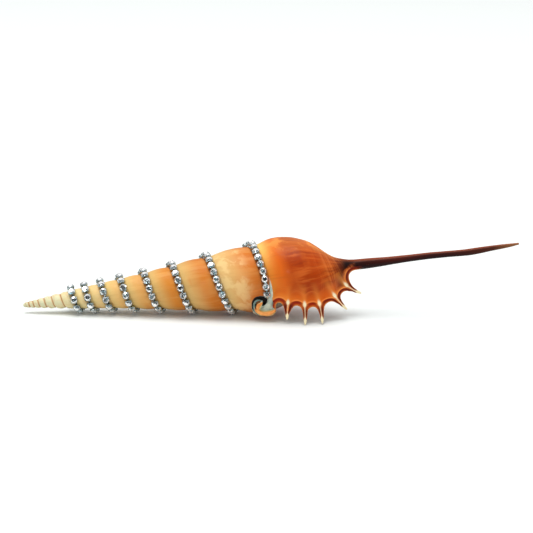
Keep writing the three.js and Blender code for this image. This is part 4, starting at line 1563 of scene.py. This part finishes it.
    def curled(self, ground):
        """The curled canal: a peach rim, a grey-green wall and glaze, and near-black painted shade in the gap
        and the slit.
        """
        mottle = self.noise(self.node("ShaderNodeTexCoord", output="Object"), 420.0, 4.0).step(0.35, 0.65)
        rim = self.value("rim")
        rim_tone = self.mix(mottle, srgb(240, 164, 92), srgb(222, 138, 70))
        tone = self.mix(mottle, srgb(212, 220, 204), srgb(174, 188, 176))
        tone = self.mix(rim.step(1.9, 1.2), tone, srgb(226, 206, 140))
        tone = self.mix(rim.step(1.15, 0.9), tone, rim_tone)
        tone = self.mix(self.value("wall"), tone, srgb(112, 136, 130))
        # near-black painted shade in the gap and the slit
        tone = self.mix((self.value("dark") * 1.5).clamp(), tone, srgb(14, 10, 9))
        return self.mix(self.value("canal"), ground, tone)


def shell_finish():
    """The shell's material: the ground of the spire, the body and the rostrum, then each marking laid
    over it."""
    m = ShellFinish()
    late = (m.turn + m.across * 0.35).step(-0.62, -0.1)
    ground = m.warmed(m.mix(late, m.spire(), m.body()))
    root = (m.along.step(133.5, 141.0) * m.edge.step(1.6, 3.6)).maximum(m.along.step(141.5, 145.0))
    ground = m.mix(root, ground, m.rostrum())
    for marking in (m.hemmed, m.rayed, m.seamed, m.glazed, m.curled):
        ground = marking(ground)
    return m.finish(ground, 0.32 + m.lines * 0.14, m.lines * 0.5 + m.wide_lines * 0.6 + m.cords * 0.5)


def metal_finish():
    """Silver plate with a faint tarnish in small spots."""
    m = Finish("silver_plated_cups", Metallic=1.0)
    spots = m.noise(m.node("ShaderNodeTexCoord", output="Object"), 900.0, 2.0)
    return m.finish(m.mix(spots, srgb(116, 132, 136), srgb(200, 210, 210)), 0.18 + spots * 0.12)


def stone_finish():
    """Clear glass, slightly cool."""
    cool = (0.88, 0.96, 0.98, 1.0)
    return Finish("clear_stones", Transmission_Weight=1.0, IOR=1.62, Roughness=0.0, Base_Color=cool).material


def foil_finish():
    """The mirrored back of the stones, every facet with its own painted reflection tone from dark teal to
    white.
    """
    m = Finish("foil_with_painted_glints", Metallic=1.0, Roughness=0.08)
    return m.finish(m.ramp(m.value("tone"), FOIL_GLINT_TONES))


def lay_table():
    """A plain square floor of matt white paper, level with the table the part lies on."""
    half = 6.0
    corners = [(-half, -half, 0), (half, -half, 0), (half, half, 0), (-half, half, 0)]
    mesh = bpy.data.meshes.new("table")
    mesh.from_pydata(corners, [], [(0, 1, 2, 3)])
    table = bpy.data.objects.new("table", mesh)
    bpy.context.scene.collection.objects.link(table)
    paper = Finish("white_paper", Roughness=0.85, Base_Color=(0.76, 0.79, 0.78, 1.0))
    table.data.materials.append(paper.material)


def light_sky():
    """A white sky whose strength rises in a smooth S from the horizon to high up."""
    world = bpy.data.worlds.new("studio")
    world.use_nodes = True
    sky = NodeShop(world.node_tree)
    direction = sky.node("ShaderNodeTexCoord", output="Generated")
    height = sky.node("ShaderNodeSeparateXYZ", None, {0: direction}, "Z")
    background = sky.tree.nodes["Background"]
    sky.feed(background.inputs["Strength"], lerp(SKY_LOW, SKY_HIGH, height.step(0.0, 0.75)))
    sky.feed(background.inputs["Color"], (1, 1, 1, 1))
    bpy.context.scene.world = world


def area_light(name, place, aim, size, power):
    """A square lamp at a place, turned to shine at its aim."""
    light = bpy.data.lights.new(name, "AREA")
    light.shape = "SQUARE"
    light.size = size
    light.energy = power
    obj = bpy.data.objects.new(name, light)
    obj.location = place
    obj.rotation_euler = (Vector(aim) - Vector(place)).to_track_quat("-Z", "Y").to_euler()
    bpy.context.scene.collection.objects.link(obj)


def place_camera():
    """The camera at the photograph's view: back from its aim by a distance along an azimuth and an
    elevation."""
    data = bpy.data.cameras.new("camera")
    data.lens = LENS
    data.sensor_width = 36
    data.clip_end = 50
    camera = bpy.data.objects.new("camera", data)
    azimuth, elevation = math.radians(CAMERA_AZIMUTH), math.radians(CAMERA_ELEVATION)
    level = math.cos(elevation)
    back = np.array([math.sin(azimuth) * level, -math.cos(azimuth) * level, math.sin(elevation)])
    camera.location = (OFFSET + CAMERA_AIM) * MM + back * CAMERA_DISTANCE
    camera.rotation_euler = (math.pi / 2 - elevation, 0, azimuth)
    bpy.context.scene.collection.objects.link(camera)
    bpy.context.scene.camera = camera


shell = build_shell()
shell.data.materials.append(shell_finish())
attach(shell, "root")
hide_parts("shell")

seats = cup_seats()
dressed = (
    (build_chain(seats), metal_finish()),
    (build_stones(seats), stone_finish()),
    (build_foils(seats), foil_finish()),
)
for piece, finish in dressed:
    piece.data.materials.append(finish)
    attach(piece, "root")
    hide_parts("rhinestone_chain")

lay_table()
light_sky()
area_light("overhead", place=(-0.25, -0.1, 2.2), aim=(0.0, 0.0, 0.0), size=1.6, power=38.0)
area_light("sparkle", place=(-0.35, -1.3, 0.5), aim=(0.0, 0.0, 0.01), size=0.16, power=1.6)
place_camera()
bpy.context.scene.view_settings.view_transform = "Standard"
